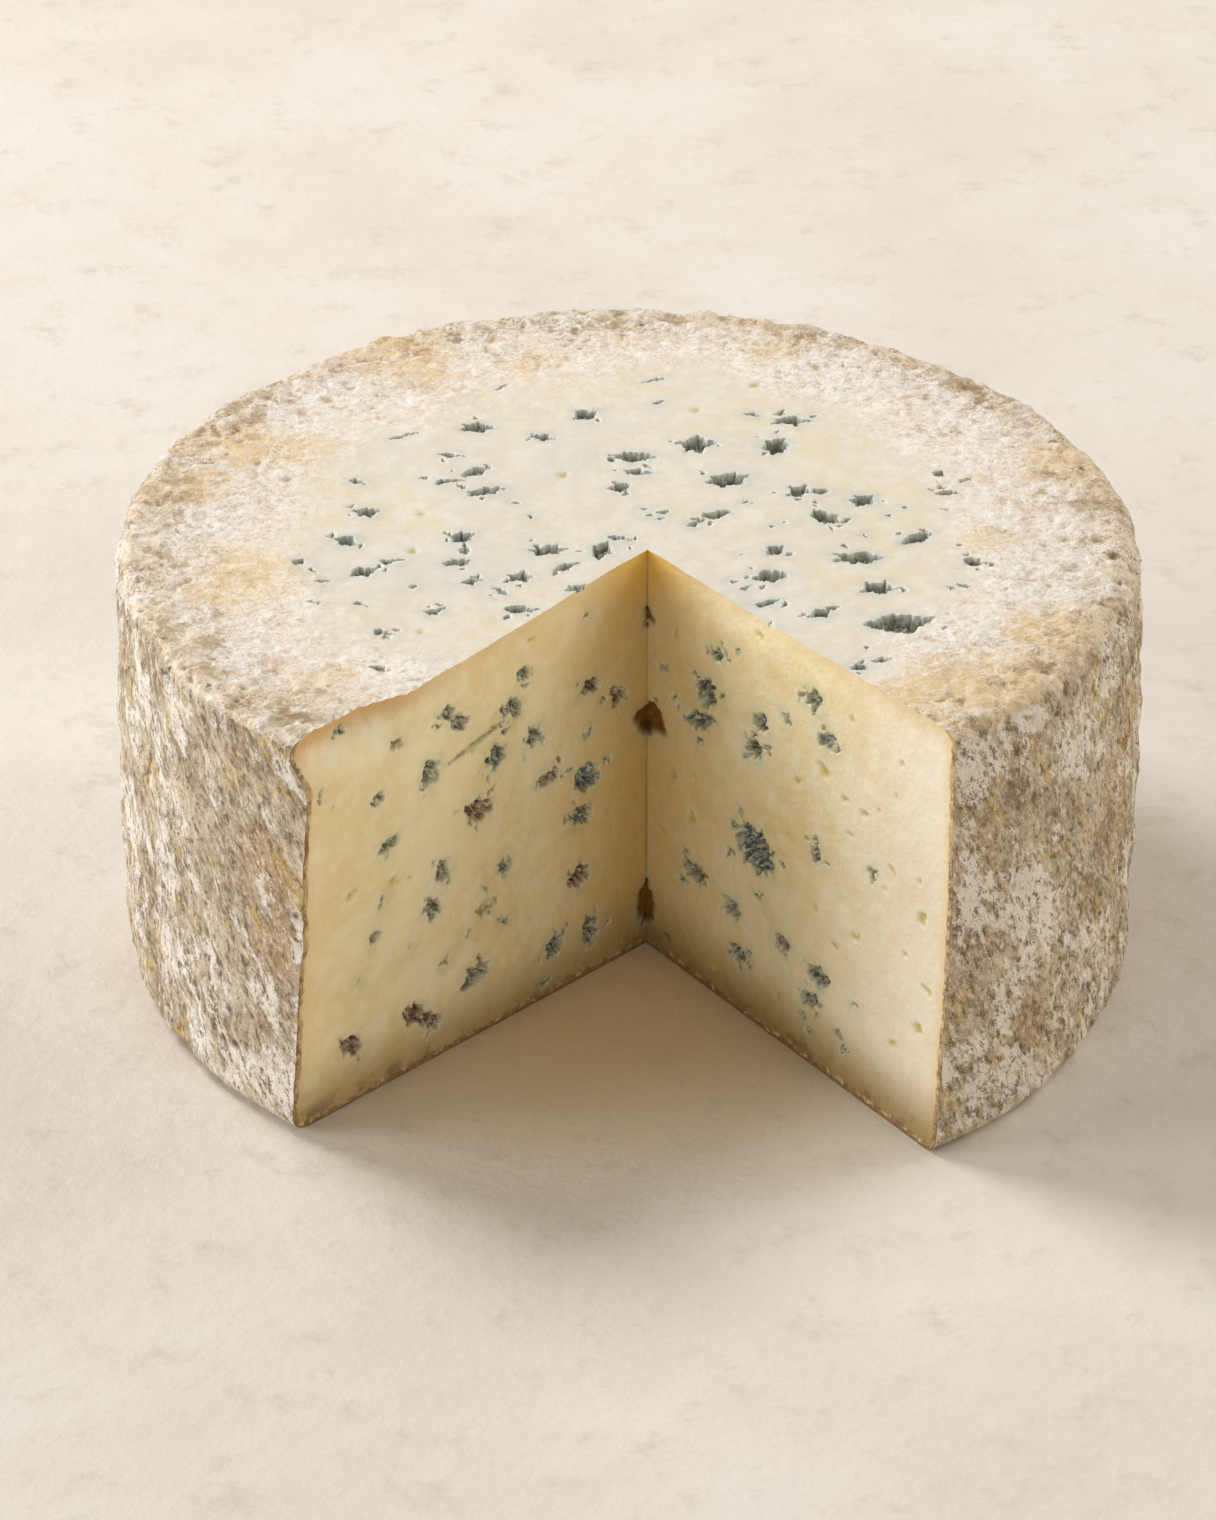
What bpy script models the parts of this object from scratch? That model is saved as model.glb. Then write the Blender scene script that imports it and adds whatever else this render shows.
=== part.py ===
"""A wheel of blue-veined cheese with a wedge cut out of it, as one solid.

Metres, +Z up. The wheel stands on z = 0 with its axis on Z, and the cut opens towards -Y.
"""
import math
import random

import bmesh
import bpy
from mathutils import Vector, noise
from mathutils.geometry import delaunay_2d_cdt

MM = 0.001

# the wheel
WHEEL_RADIUS = 0.1001
WHEEL_HEIGHT = 0.0896
SIDE_BULGE = 0.0010
TOP_ROUND_IN = 0.0062
TOP_ROUND_DOWN = 0.0070
LOW_ROUND_IN = 0.0042
LOW_ROUND_UP = 0.0040
# lobes, size and heading in degrees of each slow wave of the outline
OUTLINE_WAVES = ((1, 0.00035, 0), (2, 0.0005, -60), (5, 0.00025, 20), (9, 0.0002, 75), (14, 0.00012, 10))
# where the crust leans beside the cut: heading and spread in degrees, then how far it goes out
# at the top and at the foot
LEANS = ((-54, 30, -0.0020, 0.0011), (-130, 22, 0.0030, 0.0))
# the top edge is rounder at the back, the foot is rounder on the left
TOP_ROUND_SWING = 0.22
TOP_ROUND_HEADING = 50
LOW_ROUND_SWING = 0.25
LOW_ROUND_HEADING = 170

# crags of the crust
SIDE_CRAG_SIZE = 0.0011
SIDE_CRAG_CELL = 0.0110
TOP_CRAG_SIZE = 0.0004
TOP_CRAG_CELL = 0.0140
CRAG_OCTAVES = 2
CRAG_ROUGHNESS = 0.9

# fineness of the faceted crust
COLUMNS = 104
LOW_STEPS = 2
WALL_STEPS = 12
TOP_STEPS = 3
TOP_SPACING = 0.0080
RIM_CLEARANCE = 0.0045

# the cut: its inner corner, and the heading of each face from -Y at the top and at the foot
APEX_X = 0.0039
APEX_Y = -0.0060
LEFT_TOP_HEADING = -38.7
LEFT_LOW_HEADING = -44.5
RIGHT_TOP_HEADING = 38.3
RIGHT_LOW_HEADING = 35.5
CUT_LENGTH = 0.125
CUT_STEPS = 8
CUT_BELOW = -0.010
CUT_ABOVE = 0.104
CUT_LEVELS = 10
# the upper edge of the left face has broken away near the crust
LIP_HEADING = -2.7
LIP_LENGTH = (0.070, 0.084)
LIP_HEIGHT = (0.079, 0.088)

# openings between the curds
TIP_STEPS = 3
TIP_SPREAD = 0.24
TIP_REACH = (0.82, 1.10)
HOLLOW = {3: 0.52, 4: 0.40, 5: 0.48, 6: 0.52, 7: 0.42}
HOLLOW_POWER = 0.8
FLOOR_SHARE = 0.62
DEPTH_SHARE = 0.62
DEPTH_RANGE = (0.0013, 0.0042)
MOUTH_CLEARANCE = 0.0015

# centre, length and width in millimetres, turn in degrees and number of tips of each opening
TOP_OPENINGS = (
    (-30, 44.5, 8, 4.5, 0, 5),
    (-8.5, 49.5, 6, 4, 35, 4),
    (-17, 40, 5.5, 3, -20, 5),
    (-35, 32.5, 4.5, 2.4, -10, 4),
    (-35.5, 21.5, 7, 2.4, 10, 3),
    (-30, 25.8, 6, 3, 38, 4),
    (-28, 17.5, 8, 3.6, 20, 5),
    (-51, 9, 5.5, 4.5, 20, 5),
    (-54.5, -3, 5, 3.5, -25, 4),
    (-32, -1.5, 5.5, 4.5, 30, 5),
    (-33, -11, 5.5, 2.8, 18, 4),
    (-51, -15, 6, 4, 30, 4),
    (-46, -11.4, 4.5, 2.2, 18, 3),
    (-15.5, -6, 8, 4.8, 5, 6),
    (-4.8, -6.6, 7, 4.6, 75, 4),
    (-1.8, -1.4, 4.5, 2.4, -15, 3),
    (-12, -13, 5.5, 2.8, 35, 4),
    (-20.5, -17, 5.5, 4.4, 0, 5),
    (-30, -19, 4.8, 2.6, 20, 4),
    (-20.5, -29.5, 6.8, 3, -10, 4),
    (-36.5, -30, 5, 2.2, 25, 3),
    (-46.5, -38.5, 4.6, 2.2, -15, 3),
    (1.5, 31.6, 8.5, 4.6, 0, 4),
    (2, 25.5, 6.5, 3, -5, 5),
    (-1.4, 19.4, 4.5, 3.6, 20, 4),
    (13.6, 37, 8, 6.4, 12, 5),
    (29.6, 37, 7, 6.4, 62, 5),
    (33, 47.4, 7.5, 4, 0, 5),
    (19.6, 22.4, 9.4, 6.4, 25, 6),
    (33.6, 17.4, 6, 4.6, 60, 5),
    (46, 14, 5.6, 5, 45, 5),
    (38.4, 7, 7.6, 5.4, -30, 5),
    (17.4, 8.5, 6, 3, 18, 4),
    (12.8, 4.4, 4.6, 2.4, 45, 3),
    (56, -1.4, 6.6, 3.6, 30, 4),
    (44.6, -9, 9.6, 4.6, 0, 5),
    (67, -10.8, 5.8, 2.8, -5, 3),
    (28.6, -6.4, 4.4, 3.6, 50, 4),
    (27, -16.6, 7.4, 4.6, 10, 4),
    (48, -21, 7, 5.4, 0, 5),
    (26.4, -27.2, 5.6, 2.2, 30, 3),
    (36.6, -31.4, 4.4, 3.6, 45, 4),
    (51, -35, 13.5, 8.6, 12, 4),
    (43.2, -52, 3.6, 2.8, 10, 3),
    (62.4, 17, 5.6, 2.2, 5, 4),
)
# along the face from the inner corner, and height
LEFT_OPENINGS = (
    (17, 66.5, 6.8, 4, 0, 5),
    (8.6, 61.2, 4.8, 4.2, 0, 5),
    (59.6, 79.6, 5.6, 3.2, 10, 5),
    (55.6, 75.8, 6.6, 4, 22, 5),
    (40, 72, 6.8, 4.2, 25, 5),
    (64, 68.4, 5.6, 5, 60, 5),
    (44.4, 63, 6.2, 5.4, 0, 5),
    (33.4, 63, 5.4, 4.6, 60, 5),
    (75, 57, 5.6, 3, -25, 4),
    (49.4, 53, 9, 5.6, 35, 6),
    (29, 51.4, 7, 3.2, 0, 5),
    (17.4, 46.2, 8, 6, 20, 4),
    (19, 38.4, 6.6, 4.8, 10, 6),
    (59, 43.4, 5.6, 4.4, 60, 5),
    (61.4, 36, 5.6, 4.4, 70, 5),
    (41, 36.4, 4.6, 3.8, 80, 5),
    (46.4, 29, 6, 2.2, 0, 3),
    (19.4, 24.4, 6.4, 5, 0, 4),
    (82, 14, 7.4, 4.6, 42, 5),
    (65.4, 13.4, 6.4, 4.6, 20, 5),
    (60, 8.8, 5, 3.2, 30, 4),
    (48.4, 14.4, 7.4, 5.4, -18, 6),
    (26, 11, 6, 5.4, 0, 5),
    (16, 10.2, 7, 4.4, 80, 6),
)
RIGHT_OPENINGS = (
    (21.4, 76, 4.2, 3.6, 0, 5),
    (18.4, 66, 7, 6.4, 40, 6),
    (16, 58.8, 10.4, 4.2, 20, 6),
    (35, 66.8, 5.6, 4, 10, 5),
    (33.4, 60.6, 5.2, 4.6, 0, 5),
    (51, 79, 5.2, 3.8, 0, 5),
    (55, 72.4, 5.2, 4, 20, 5),
    (53.4, 46.4, 4.6, 4.2, 30, 5),
    (34, 38.8, 12.5, 9.6, -25, 7),
    (28, 22, 5.2, 4.4, 0, 5),
    (44.4, 22.4, 4.8, 3.2, 0, 4),
    (15.4, 24.4, 9, 4.4, 8, 6),
    (55.4, 20.4, 6.8, 4.6, 0, 5),
    (53.8, 14.2, 6.2, 3.4, 10, 5),
    (30, 12.6, 5, 4.2, 0, 5),
)
# in the inner corner: offset across it, and height
CORNER_OPENINGS = (
    (0.2, 75, 3.6, 2.8, 90, 3),
    (0.6, 52, 8.4, 6.4, 78, 4),
    (0, 9, 11, 3.4, 90, 4),
)

CHEESE_COLOUR = (0.80, 0.70, 0.50, 1.0)
CHEESE_ROUGHNESS = 0.62


def smooth_share(value, start, end):
    """0 before start, 1 after end, and an even ease between."""
    share = min(max((value - start) / (end - start), 0.0), 1.0)
    return share * share * (3.0 - 2.0 * share)


def outline_radius(heading, height):
    """Radius of the crust at a heading in radians from +X and a height, before its rounded edges."""
    radius = WHEEL_RADIUS
    for lobes, size, start in OUTLINE_WAVES:
        radius += size * math.cos(lobes * (heading - math.radians(start)))
    rise = 2.0 * height / WHEEL_HEIGHT - 1.0
    radius -= SIDE_BULGE * rise * rise
    for middle, spread, top_size, foot_size in LEANS:
        away = (math.degrees(heading) - middle + 180.0) % 360.0 - 180.0
        size = top_size * max(rise, 0.0) + foot_size * max(-rise, 0.0)
        radius += size * math.exp(-(away / spread) ** 2)
    return radius


def inset_share(heading, slope):
    """How much rounder or sharper than usual the edge is at a heading, at the foot or the top."""
    if slope < 0.0:
        return 1.0 + LOW_ROUND_SWING * math.cos(heading - math.radians(LOW_ROUND_HEADING))
    return 1.0 + TOP_ROUND_SWING * math.cos(heading - math.radians(TOP_ROUND_HEADING))


def crag(point, cell, size):
    """Height of the crags at a point, for crags one cell wide."""
    return size * noise.fractal(point / cell, CRAG_ROUGHNESS, 2.0, CRAG_OCTAVES)


def crust_relief(point, slope):
    """How far the crust stands out at a point: craggy on the side, gentler on top, level at the foot."""
    side = crag(point, SIDE_CRAG_CELL, SIDE_CRAG_SIZE) * math.cos(slope)
    top = crag(point, TOP_CRAG_CELL, TOP_CRAG_SIZE) * max(math.sin(slope), 0.0)
    return side + top


def meridian():
    """Half section of the crust from the foot to the top: inset, height and slope of each level."""
    rows = []
    for step in range(LOW_STEPS + 1):
        slope = math.radians(90.0 * step / LOW_STEPS - 90.0)
        inset = LOW_ROUND_IN * (1.0 - math.cos(slope))
        rows.append((inset, LOW_ROUND_UP * (1.0 + math.sin(slope)), slope))
    wall = WHEEL_HEIGHT - TOP_ROUND_DOWN - LOW_ROUND_UP
    for step in range(1, WALL_STEPS):
        rows.append((0.0, LOW_ROUND_UP + wall * step / WALL_STEPS, 0.0))
    for step in range(TOP_STEPS + 1):
        slope = math.radians(90.0 * step / TOP_STEPS)
        inset = TOP_ROUND_IN * (1.0 - math.cos(slope))
        rows.append((inset, WHEEL_HEIGHT - TOP_ROUND_DOWN * (1.0 - math.sin(slope)), slope))
    return rows


def crust_point(heading, inset, height, slope):
    """A point of the crust, moved out by its relief."""
    radius = outline_radius(heading, height) - inset * inset_share(heading, slope)
    outward = Vector((math.cos(heading), math.sin(heading), 0.0))
    point = outward * radius + Vector((0.0, 0.0, height))
    lift = crust_relief(point, slope)
    return point + lift * (outward * math.cos(slope) + Vector((0.0, 0.0, max(math.sin(slope), 0.0))))


def top_points(rim):
    """The rim of the top, then an even spread of points inside it, as plan positions."""
    points = [Vector((vertex.co.x, vertex.co.y)) for vertex in rim]
    rows = int(WHEEL_RADIUS / TOP_SPACING) + 1
    for row in range(-rows, rows + 1):
        y = row * TOP_SPACING * math.sqrt(0.75)
        for column in range(-rows, rows + 1):
            x = (column + 0.5 * (row % 2)) * TOP_SPACING
            if math.hypot(x, y) < WHEEL_RADIUS - TOP_ROUND_IN - RIM_CLEARANCE:
                points.append(Vector((x, y)))
    return points


def fill_top(mesh, rim):
    """Close the top of the wheel with even triangles, gently uneven in height."""
    points = top_points(rim)
    rim_count = len(rim)
    found = delaunay_2d_cdt(points, [], [list(range(rim_count))], 1, 1e-7)
    places, triangles, sources = found[0], found[2], found[3]
    vertices = []
    for place, source in zip(places, sources):
        if source[0] < rim_count:
            vertices.append(rim[source[0]])
            continue
        level = Vector((place.x, place.y, WHEEL_HEIGHT))
        level.z += crust_relief(level, math.pi / 2.0)
        vertices.append(mesh.verts.new(level))
    for triangle in triangles:
        mesh.faces.new([vertices[index] for index in triangle])


def wheel_mesh():
    """The whole wheel, before the wedge is cut out."""
    mesh = bmesh.new()
    rings = []
    for inset, height, slope in meridian():
        ring = []
        for column in range(COLUMNS):
            heading = 2.0 * math.pi * column / COLUMNS
            ring.append(mesh.verts.new(crust_point(heading, inset, height, slope)))
        rings.append(ring)
    for lower, upper in zip(rings, rings[1:]):
        for column in range(COLUMNS):
            after = (column + 1) % COLUMNS
            mesh.faces.new((lower[column], lower[after], upper[after], upper[column]))
    mesh.faces.new(list(reversed(rings[0])))
    fill_top(mesh, rings[-1])
    bmesh.ops.triangulate(mesh, faces=mesh.faces[:])
    bmesh.ops.recalc_face_normals(mesh, faces=mesh.faces[:])
    return mesh


def face_heading(side, along, height):
    """Heading of a cut face from -Y, in radians: the knife leaned, so it changes with the height."""
    rise = height / WHEEL_HEIGHT
    if side < 0:
        heading = LEFT_LOW_HEADING + (LEFT_TOP_HEADING - LEFT_LOW_HEADING) * rise
        heading += LIP_HEADING * smooth_share(along, *LIP_LENGTH) * smooth_share(height, *LIP_HEIGHT)
    else:
        heading = RIGHT_LOW_HEADING + (RIGHT_TOP_HEADING - RIGHT_LOW_HEADING) * rise
    return math.radians(heading)


def face_point(side, along, height):
    """A point of the left (side -1) or right (side 1) cut face."""
    heading = face_heading(side, along, height)
    return Vector((APEX_X + math.sin(heading) * along, APEX_Y - math.cos(heading) * along, height))


def face_axes(side, along, height):
    """Directions at a point of a cut face: along it, up it, and out of it into the cut."""
    step = 0.5 * MM
    forward = face_point(side, along + step, height) - face_point(side, along - step, height)
    rise = face_point(side, along, height + step) - face_point(side, along, height - step)
    forward.normalize()
    outward = forward.cross(rise).normalized() * side
    upward = outward.cross(forward) * side
    return forward, upward, outward


def wedge_mesh():
    """The space of the missing wedge, with the two slightly twisted cut faces as its sides."""
    mesh = bmesh.new()
    loops = []
    for level in range(CUT_LEVELS + 1):
        height = CUT_BELOW + (CUT_ABOVE - CUT_BELOW) * level / CUT_LEVELS
        loop = []
        for step in range(-CUT_STEPS, CUT_STEPS + 1):
            side = 1 if step > 0 else -1
            along = CUT_LENGTH * abs(step) / CUT_STEPS
            loop.append(mesh.verts.new(face_point(side, along, height)))
        loops.append(loop)
    count = len(loops[0])
    for lower, upper in zip(loops, loops[1:]):
        for index in range(count):
            after = (index + 1) % count
            mesh.faces.new((lower[index], lower[after], upper[after], upper[index]))
    mesh.faces.new(list(reversed(loops[0])))
    mesh.faces.new(loops[-1])
    bmesh.ops.triangulate(mesh, faces=mesh.faces[:])
    bmesh.ops.recalc_face_normals(mesh, faces=mesh.faces[:])
    return mesh


def opening_outline(length, width, turn, tips, key):
    """Outline of a gap between curds: pointed tips joined by hollow curves."""
    draw = random.Random(key)
    corners = []
    for index in range(tips):
        wander = draw.uniform(-TIP_SPREAD, TIP_SPREAD) if index else 0.0
        reach = draw.uniform(*TIP_REACH) if index else 1.0
        corners.append((2.0 * math.pi * (index + wander) / tips, reach))
    corners.append((corners[0][0] + 2.0 * math.pi, corners[0][1]))
    lean = math.radians(turn)
    outline = []
    for (start, reach), (end, next_reach) in zip(corners, corners[1:]):
        for step in range(TIP_STEPS):
            share = step / TIP_STEPS
            hollow = 1.0 - HOLLOW[tips] * math.sin(math.pi * share) ** HOLLOW_POWER
            radius = (reach + (next_reach - reach) * share) * hollow
            angle = start + (end - start) * share
            across = 0.5 * length * radius * math.cos(angle)
            up = 0.5 * width * radius * math.sin(angle)
            outline.append((across * math.cos(lean) - up * math.sin(lean),
                            across * math.sin(lean) + up * math.cos(lean)))
    return outline


def add_well(mesh, outline, depth, centre, axes):
    """A tapered pit with the given outline, closed above the face so that it cuts cleanly."""
    forward, upward, outward = axes
    floor = 0.8 * depth
    mouth_share = 1.0 + (1.0 - FLOOR_SHARE) / floor * MOUTH_CLEARANCE
    mouth = []
    low = []
    for across, up in outline:
        offset = forward * across + upward * up
        mouth.append(mesh.verts.new(centre + offset * mouth_share + outward * MOUTH_CLEARANCE))
        low.append(mesh.verts.new(centre + offset * FLOOR_SHARE - outward * floor))
    lid = mesh.verts.new(centre + outward * MOUTH_CLEARANCE)
    bottom = mesh.verts.new(centre - outward * depth)
    count = len(outline)
    for index in range(count):
        after = (index + 1) % count
        mesh.faces.new((mouth[index], mouth[after], lid))
        mesh.faces.new((low[after], low[index], bottom))
        mesh.faces.new((low[index], low[after], mouth[after], mouth[index]))


def add_openings(mesh, rows, place):
    """Wells for a list of openings; place gives the centre and the axes on their face."""
    for key, (first, second, length, width, turn, tips) in enumerate(rows):
        centre, axes = place(first * MM, second * MM)
        outline = opening_outline(length * MM, width * MM, turn, tips, key)
        depth = min(max(DEPTH_SHARE * width * MM, DEPTH_RANGE[0]), DEPTH_RANGE[1])
        add_well(mesh, outline, depth, centre, axes)


def top_place(x, y):
    """Centre and axes of an opening in the top."""
    axes = (Vector((1.0, 0.0, 0.0)), Vector((0.0, 1.0, 0.0)), Vector((0.0, 0.0, 1.0)))
    return Vector((x, y, WHEEL_HEIGHT)), axes


def left_place(along, height):
    """Centre and axes of an opening in the left cut face."""
    return face_point(-1, along, height), face_axes(-1, along, height)


def right_place(along, height):
    """Centre and axes of an opening in the right cut face."""
    return face_point(1, along, height), face_axes(1, along, height)


def corner_place(across, height):
    """Centre and axes of an opening in the inner corner of the cut."""
    axes = (Vector((1.0, 0.0, 0.0)), Vector((0.0, 0.0, 1.0)), Vector((0.0, -1.0, 0.0)))
    return Vector((APEX_X + across, APEX_Y, height)), axes


def openings_mesh():
    """Every opening between the curds, as one set of cutters."""
    mesh = bmesh.new()
    add_openings(mesh, TOP_OPENINGS, top_place)
    add_openings(mesh, LEFT_OPENINGS, left_place)
    add_openings(mesh, RIGHT_OPENINGS, right_place)
    add_openings(mesh, CORNER_OPENINGS, corner_place)
    bmesh.ops.triangulate(mesh, faces=mesh.faces[:])
    bmesh.ops.recalc_face_normals(mesh, faces=mesh.faces[:])
    return mesh


def new_object(name, mesh):
    """Put a mesh into the scene as an object."""
    data = bpy.data.meshes.new(name)
    mesh.to_mesh(data)
    mesh.free()
    item = bpy.data.objects.new(name, data)
    bpy.context.scene.collection.objects.link(item)
    return item


def cut(body, cutter):
    """Take the cutter's space out of the body."""
    cutter.hide_render = True
    cutter.display_type = "WIRE"
    step = body.modifiers.new(cutter.name, "BOOLEAN")
    step.operation = "DIFFERENCE"
    step.object = cutter


def cheese_material():
    """Pale ivory paste."""
    material = bpy.data.materials.new("cheese")
    material.use_nodes = True
    shader = material.node_tree.nodes["Principled BSDF"]
    shader.inputs["Base Color"].default_value = CHEESE_COLOUR
    shader.inputs["Roughness"].default_value = CHEESE_ROUGHNESS
    shader.inputs["Metallic"].default_value = 0.0
    return material


def main():
    """Build the wheel with its cut and its openings."""
    for item in list(bpy.data.objects):
        bpy.data.objects.remove(item)
    wheel = new_object("cheese_wheel", wheel_mesh())
    wheel.data.materials.append(cheese_material())
    cut(wheel, new_object("wedge_cutter", wedge_mesh()))
    cut(wheel, new_object("openings_cutter", openings_mesh()))


main()
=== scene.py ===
import math
import random

import bpy
import numpy as np
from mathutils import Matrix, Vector, noise
from mathutils.geometry import delaunay_2d_cdt


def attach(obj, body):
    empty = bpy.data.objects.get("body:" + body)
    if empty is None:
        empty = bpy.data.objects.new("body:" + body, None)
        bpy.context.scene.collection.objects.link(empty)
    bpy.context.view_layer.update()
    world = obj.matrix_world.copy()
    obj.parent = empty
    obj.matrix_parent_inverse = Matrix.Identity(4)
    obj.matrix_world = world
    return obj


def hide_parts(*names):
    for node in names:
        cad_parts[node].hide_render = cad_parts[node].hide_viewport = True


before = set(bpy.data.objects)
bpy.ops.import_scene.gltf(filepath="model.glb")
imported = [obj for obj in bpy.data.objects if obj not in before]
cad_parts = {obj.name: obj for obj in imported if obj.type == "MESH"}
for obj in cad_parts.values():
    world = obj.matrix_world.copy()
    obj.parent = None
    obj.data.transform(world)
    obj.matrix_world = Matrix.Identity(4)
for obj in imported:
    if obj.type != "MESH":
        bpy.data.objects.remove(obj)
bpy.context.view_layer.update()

MM = 0.001
FULL_TURN = 2.0 * math.pi

# the wheel
WHEEL_RADIUS = 0.1001
WHEEL_HEIGHT = 0.0896
SIDE_BULGE = 0.0010
TOP_ROUND_IN = 0.0042
TOP_ROUND_DOWN = 0.0046
LOW_ROUND_IN = 0.0042
LOW_ROUND_UP = 0.0040
# lobes, size and heading in degrees of each slow wave of the outline
OUTLINE_WAVES = ((1, 0.00035, 0), (2, 0.0005, -60), (5, 0.00025, 20), (9, 0.0002, 75), (14, 0.00012, 10))
# where the crust leans beside the cut: heading and spread in degrees, then how far it goes out
# at the top and at the foot
LEANS = ((-54, 30, -0.0020, 0.0011), (-130, 22, 0.0030, 0.0))
# the top edge is rounder at the back, the foot is rounder on the left
TOP_ROUND_SWING = 0.30
TOP_ROUND_HEADING = 50
LOW_ROUND_SWING = 0.25
LOW_ROUND_HEADING = 170
# headings of the cut faces at the crust: beside them the top edge is sharper
CUT_HEADINGS = (-52.6, -131.6)
CUT_ROUND_SHARE = 0.5
CUT_ROUND_SPREAD = 14.0

# crags of the crust
SIDE_CRAG_SIZE = 0.0008
SIDE_CRAG_CELL = 0.0110
TOP_CRAG_SIZE = 0.0004
TOP_CRAG_CELL = 0.0140
CRAG_OCTAVES = 2
CRAG_ROUGHNESS = 0.9

# the cut: its inner corner, and the heading of each face from -Y at the top and at the foot
APEX_X = 0.0039
APEX_Y = -0.0060
LEFT_TOP_HEADING = -38.7
LEFT_LOW_HEADING = -44.5
RIGHT_TOP_HEADING = 38.3
RIGHT_LOW_HEADING = 35.5
# the upper edge of the left face has broken away near the crust
LIP_HEADING = -2.7
LIP_LENGTH = (0.070, 0.084)
LIP_HEIGHT = (0.079, 0.088)

# fineness of the surface
SIDE_STEP = 0.00056
LOW_STEPS = 10
TOP_STEPS = 12
TOP_STEP = 0.00068
FACE_STEP = 0.00055
FINE_STEP = 0.00030
FINE_REACH = 0.0010
POINT_WOBBLE = 0.12
WOBBLE_SEED = 7
# how clear of borders and outlines the points of a sheet stay, as a share of their step
BORDER_CLEARANCE = 0.6
OUTLINE_CLEARANCE = 0.4
GUIDE_CLEARANCE = 0.5
# sizes that count as nothing, and how far to each side a face's slope is measured
MERGE_DISTANCE = 1e-8
LEAST_AREA = 1e-14
NO_LENGTH = 1e-15
SMALL = 1e-6
TINY = 1e-9
NORMAL_STEP = 0.0005
EDGE_ROUNDS = 14
BORDER_EASE = 0.0007
TOP_PIT_DEPTH = 0.0008
FACE_PIT_DEPTH = 0.0006
PIT_FLATNESS = 0.8

# openings between the curds
TIP_SPREAD = 0.24
FIRST_TIP_REACH = 1.12
TIP_REACH = (0.92, 1.22)
HOLLOW = {2: 0.0, 3: 0.40, 4: 0.30, 5: 0.36, 6: 0.38, 7: 0.24}
# an opening with two tips is a straight slit
SLIT_TIPS = 2
HOLLOW_POWER = 0.8
DEPTH_SHARE = 0.42
DEPTH_RANGE = (0.0007, 0.0028)
DEPTH_LIMIT = 1.1
WARP_REACH = 0.0035
WARP_LEVEL = 0.01
WARP_ROUNDS = 4
ROUGH_LEVEL = 0.02
HALO_REACH = 0.0019
# size, number and direction of the small waves of each outline, and the range of their start
RIPPLES = ((0.05, 9.0, 1.0), (0.04, 17.0, -1.0))
PHASE_RANGE = (0, 6)
# tints drawn at random, and how strongly each kind of opening stains the paste round it
MAIN_TINT = (0.1, 0.65)
SPECK_TINT = (0.1, 0.75)
SPECK_STAIN = 0.8
SATELLITE_STAIN = 0.35
STAIN_RANGE = (0.6, 1.0)
# walls of an opening: how far in they end as a share of the half width, and how steep they are
WALL_SHARE = 0.42
WALL_POWER = 2.6
WALL_INSET = 0.00022
# how far past its size an opening is looked for, and the distance given where there is none
REACH_MARGIN = 1.15
NO_OPENING = 1.0
# where the slope of a clean pit starts and ends, as a share of its diameter
DENT_RANGE = (0.1, 0.55)
# points along an outline: how dense, how few at least, and the least share of the size
OUTLINE_DENSITY = 1.5
OUTLINE_LEAST = 10
OUTLINE_CLOSEST = 0.05

# centre, length and width in millimetres, turn in degrees and number of tips of each opening
TOP_OPENINGS = (
    (-30, 44.5, 8, 4.5, 0, 5), (-8.5, 49.5, 6, 4, 35, 4), (-17, 40, 5.5, 3, -20, 5),
    (-35, 32.5, 4.5, 2.4, -10, 4), (-35.5, 21.5, 7, 2.4, 10, 3), (-30, 25.8, 6, 3, 38, 4),
    (-28, 17.5, 8, 3.6, 20, 5), (-51, 9, 5.5, 4.5, 20, 5), (-54.5, -3, 5, 3.5, -25, 4),
    (-32, -1.5, 5.5, 4.5, 30, 5), (-33, -11, 5.5, 2.8, 18, 4), (-51, -15, 6, 4, 30, 4),
    (-46, -11.4, 4.5, 2.2, 18, 3), (-15.5, -6, 8, 4.8, 5, 6), (-4.8, -6.6, 7, 4.6, 75, 4),
    (-1.8, -1.4, 4.5, 2.4, -15, 3), (-12, -13, 5.5, 2.8, 35, 4), (-20.5, -17, 5.5, 4.4, 0, 5),
    (-30, -19, 4.8, 2.6, 20, 4), (-20.5, -29.5, 6.8, 3, -10, 4), (-36.5, -30, 5, 2.2, 25, 3),
    (-46.5, -38.5, 4.6, 2.2, -15, 3), (1.5, 31.6, 8.5, 4.6, 0, 4), (2, 25.5, 6.5, 3, -5, 5),
    (-1.4, 19.4, 4.5, 3.6, 20, 4), (13.6, 37, 8, 6.4, 12, 5), (29.6, 37, 7, 6.4, 62, 5),
    (33, 47.4, 7.5, 4, 0, 5), (19.6, 22.4, 9.4, 6.4, 25, 6), (33.6, 17.4, 6, 4.6, 60, 5),
    (46, 14, 5.6, 5, 45, 5), (38.4, 7, 7.6, 5.4, -30, 5), (17.4, 8.5, 6, 3, 18, 4),
    (12.8, 4.4, 4.6, 2.4, 45, 3), (56, -1.4, 6.6, 3.6, 30, 4), (44.6, -9, 9.6, 4.6, 0, 5),
    (67, -10.8, 5.8, 2.8, -5, 3), (28.6, -6.4, 4.4, 3.6, 50, 4), (27, -16.6, 7.4, 4.6, 10, 4),
    (48, -21, 7, 5.4, 0, 5), (26.4, -27.2, 5.6, 2.2, 30, 3), (36.6, -31.4, 4.4, 3.6, 45, 4),
    (51, -35, 13.5, 8.6, 12, 4), (43.2, -52, 3.6, 2.8, 10, 3), (62.4, 17, 5.6, 2.2, 5, 4),
)
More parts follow.
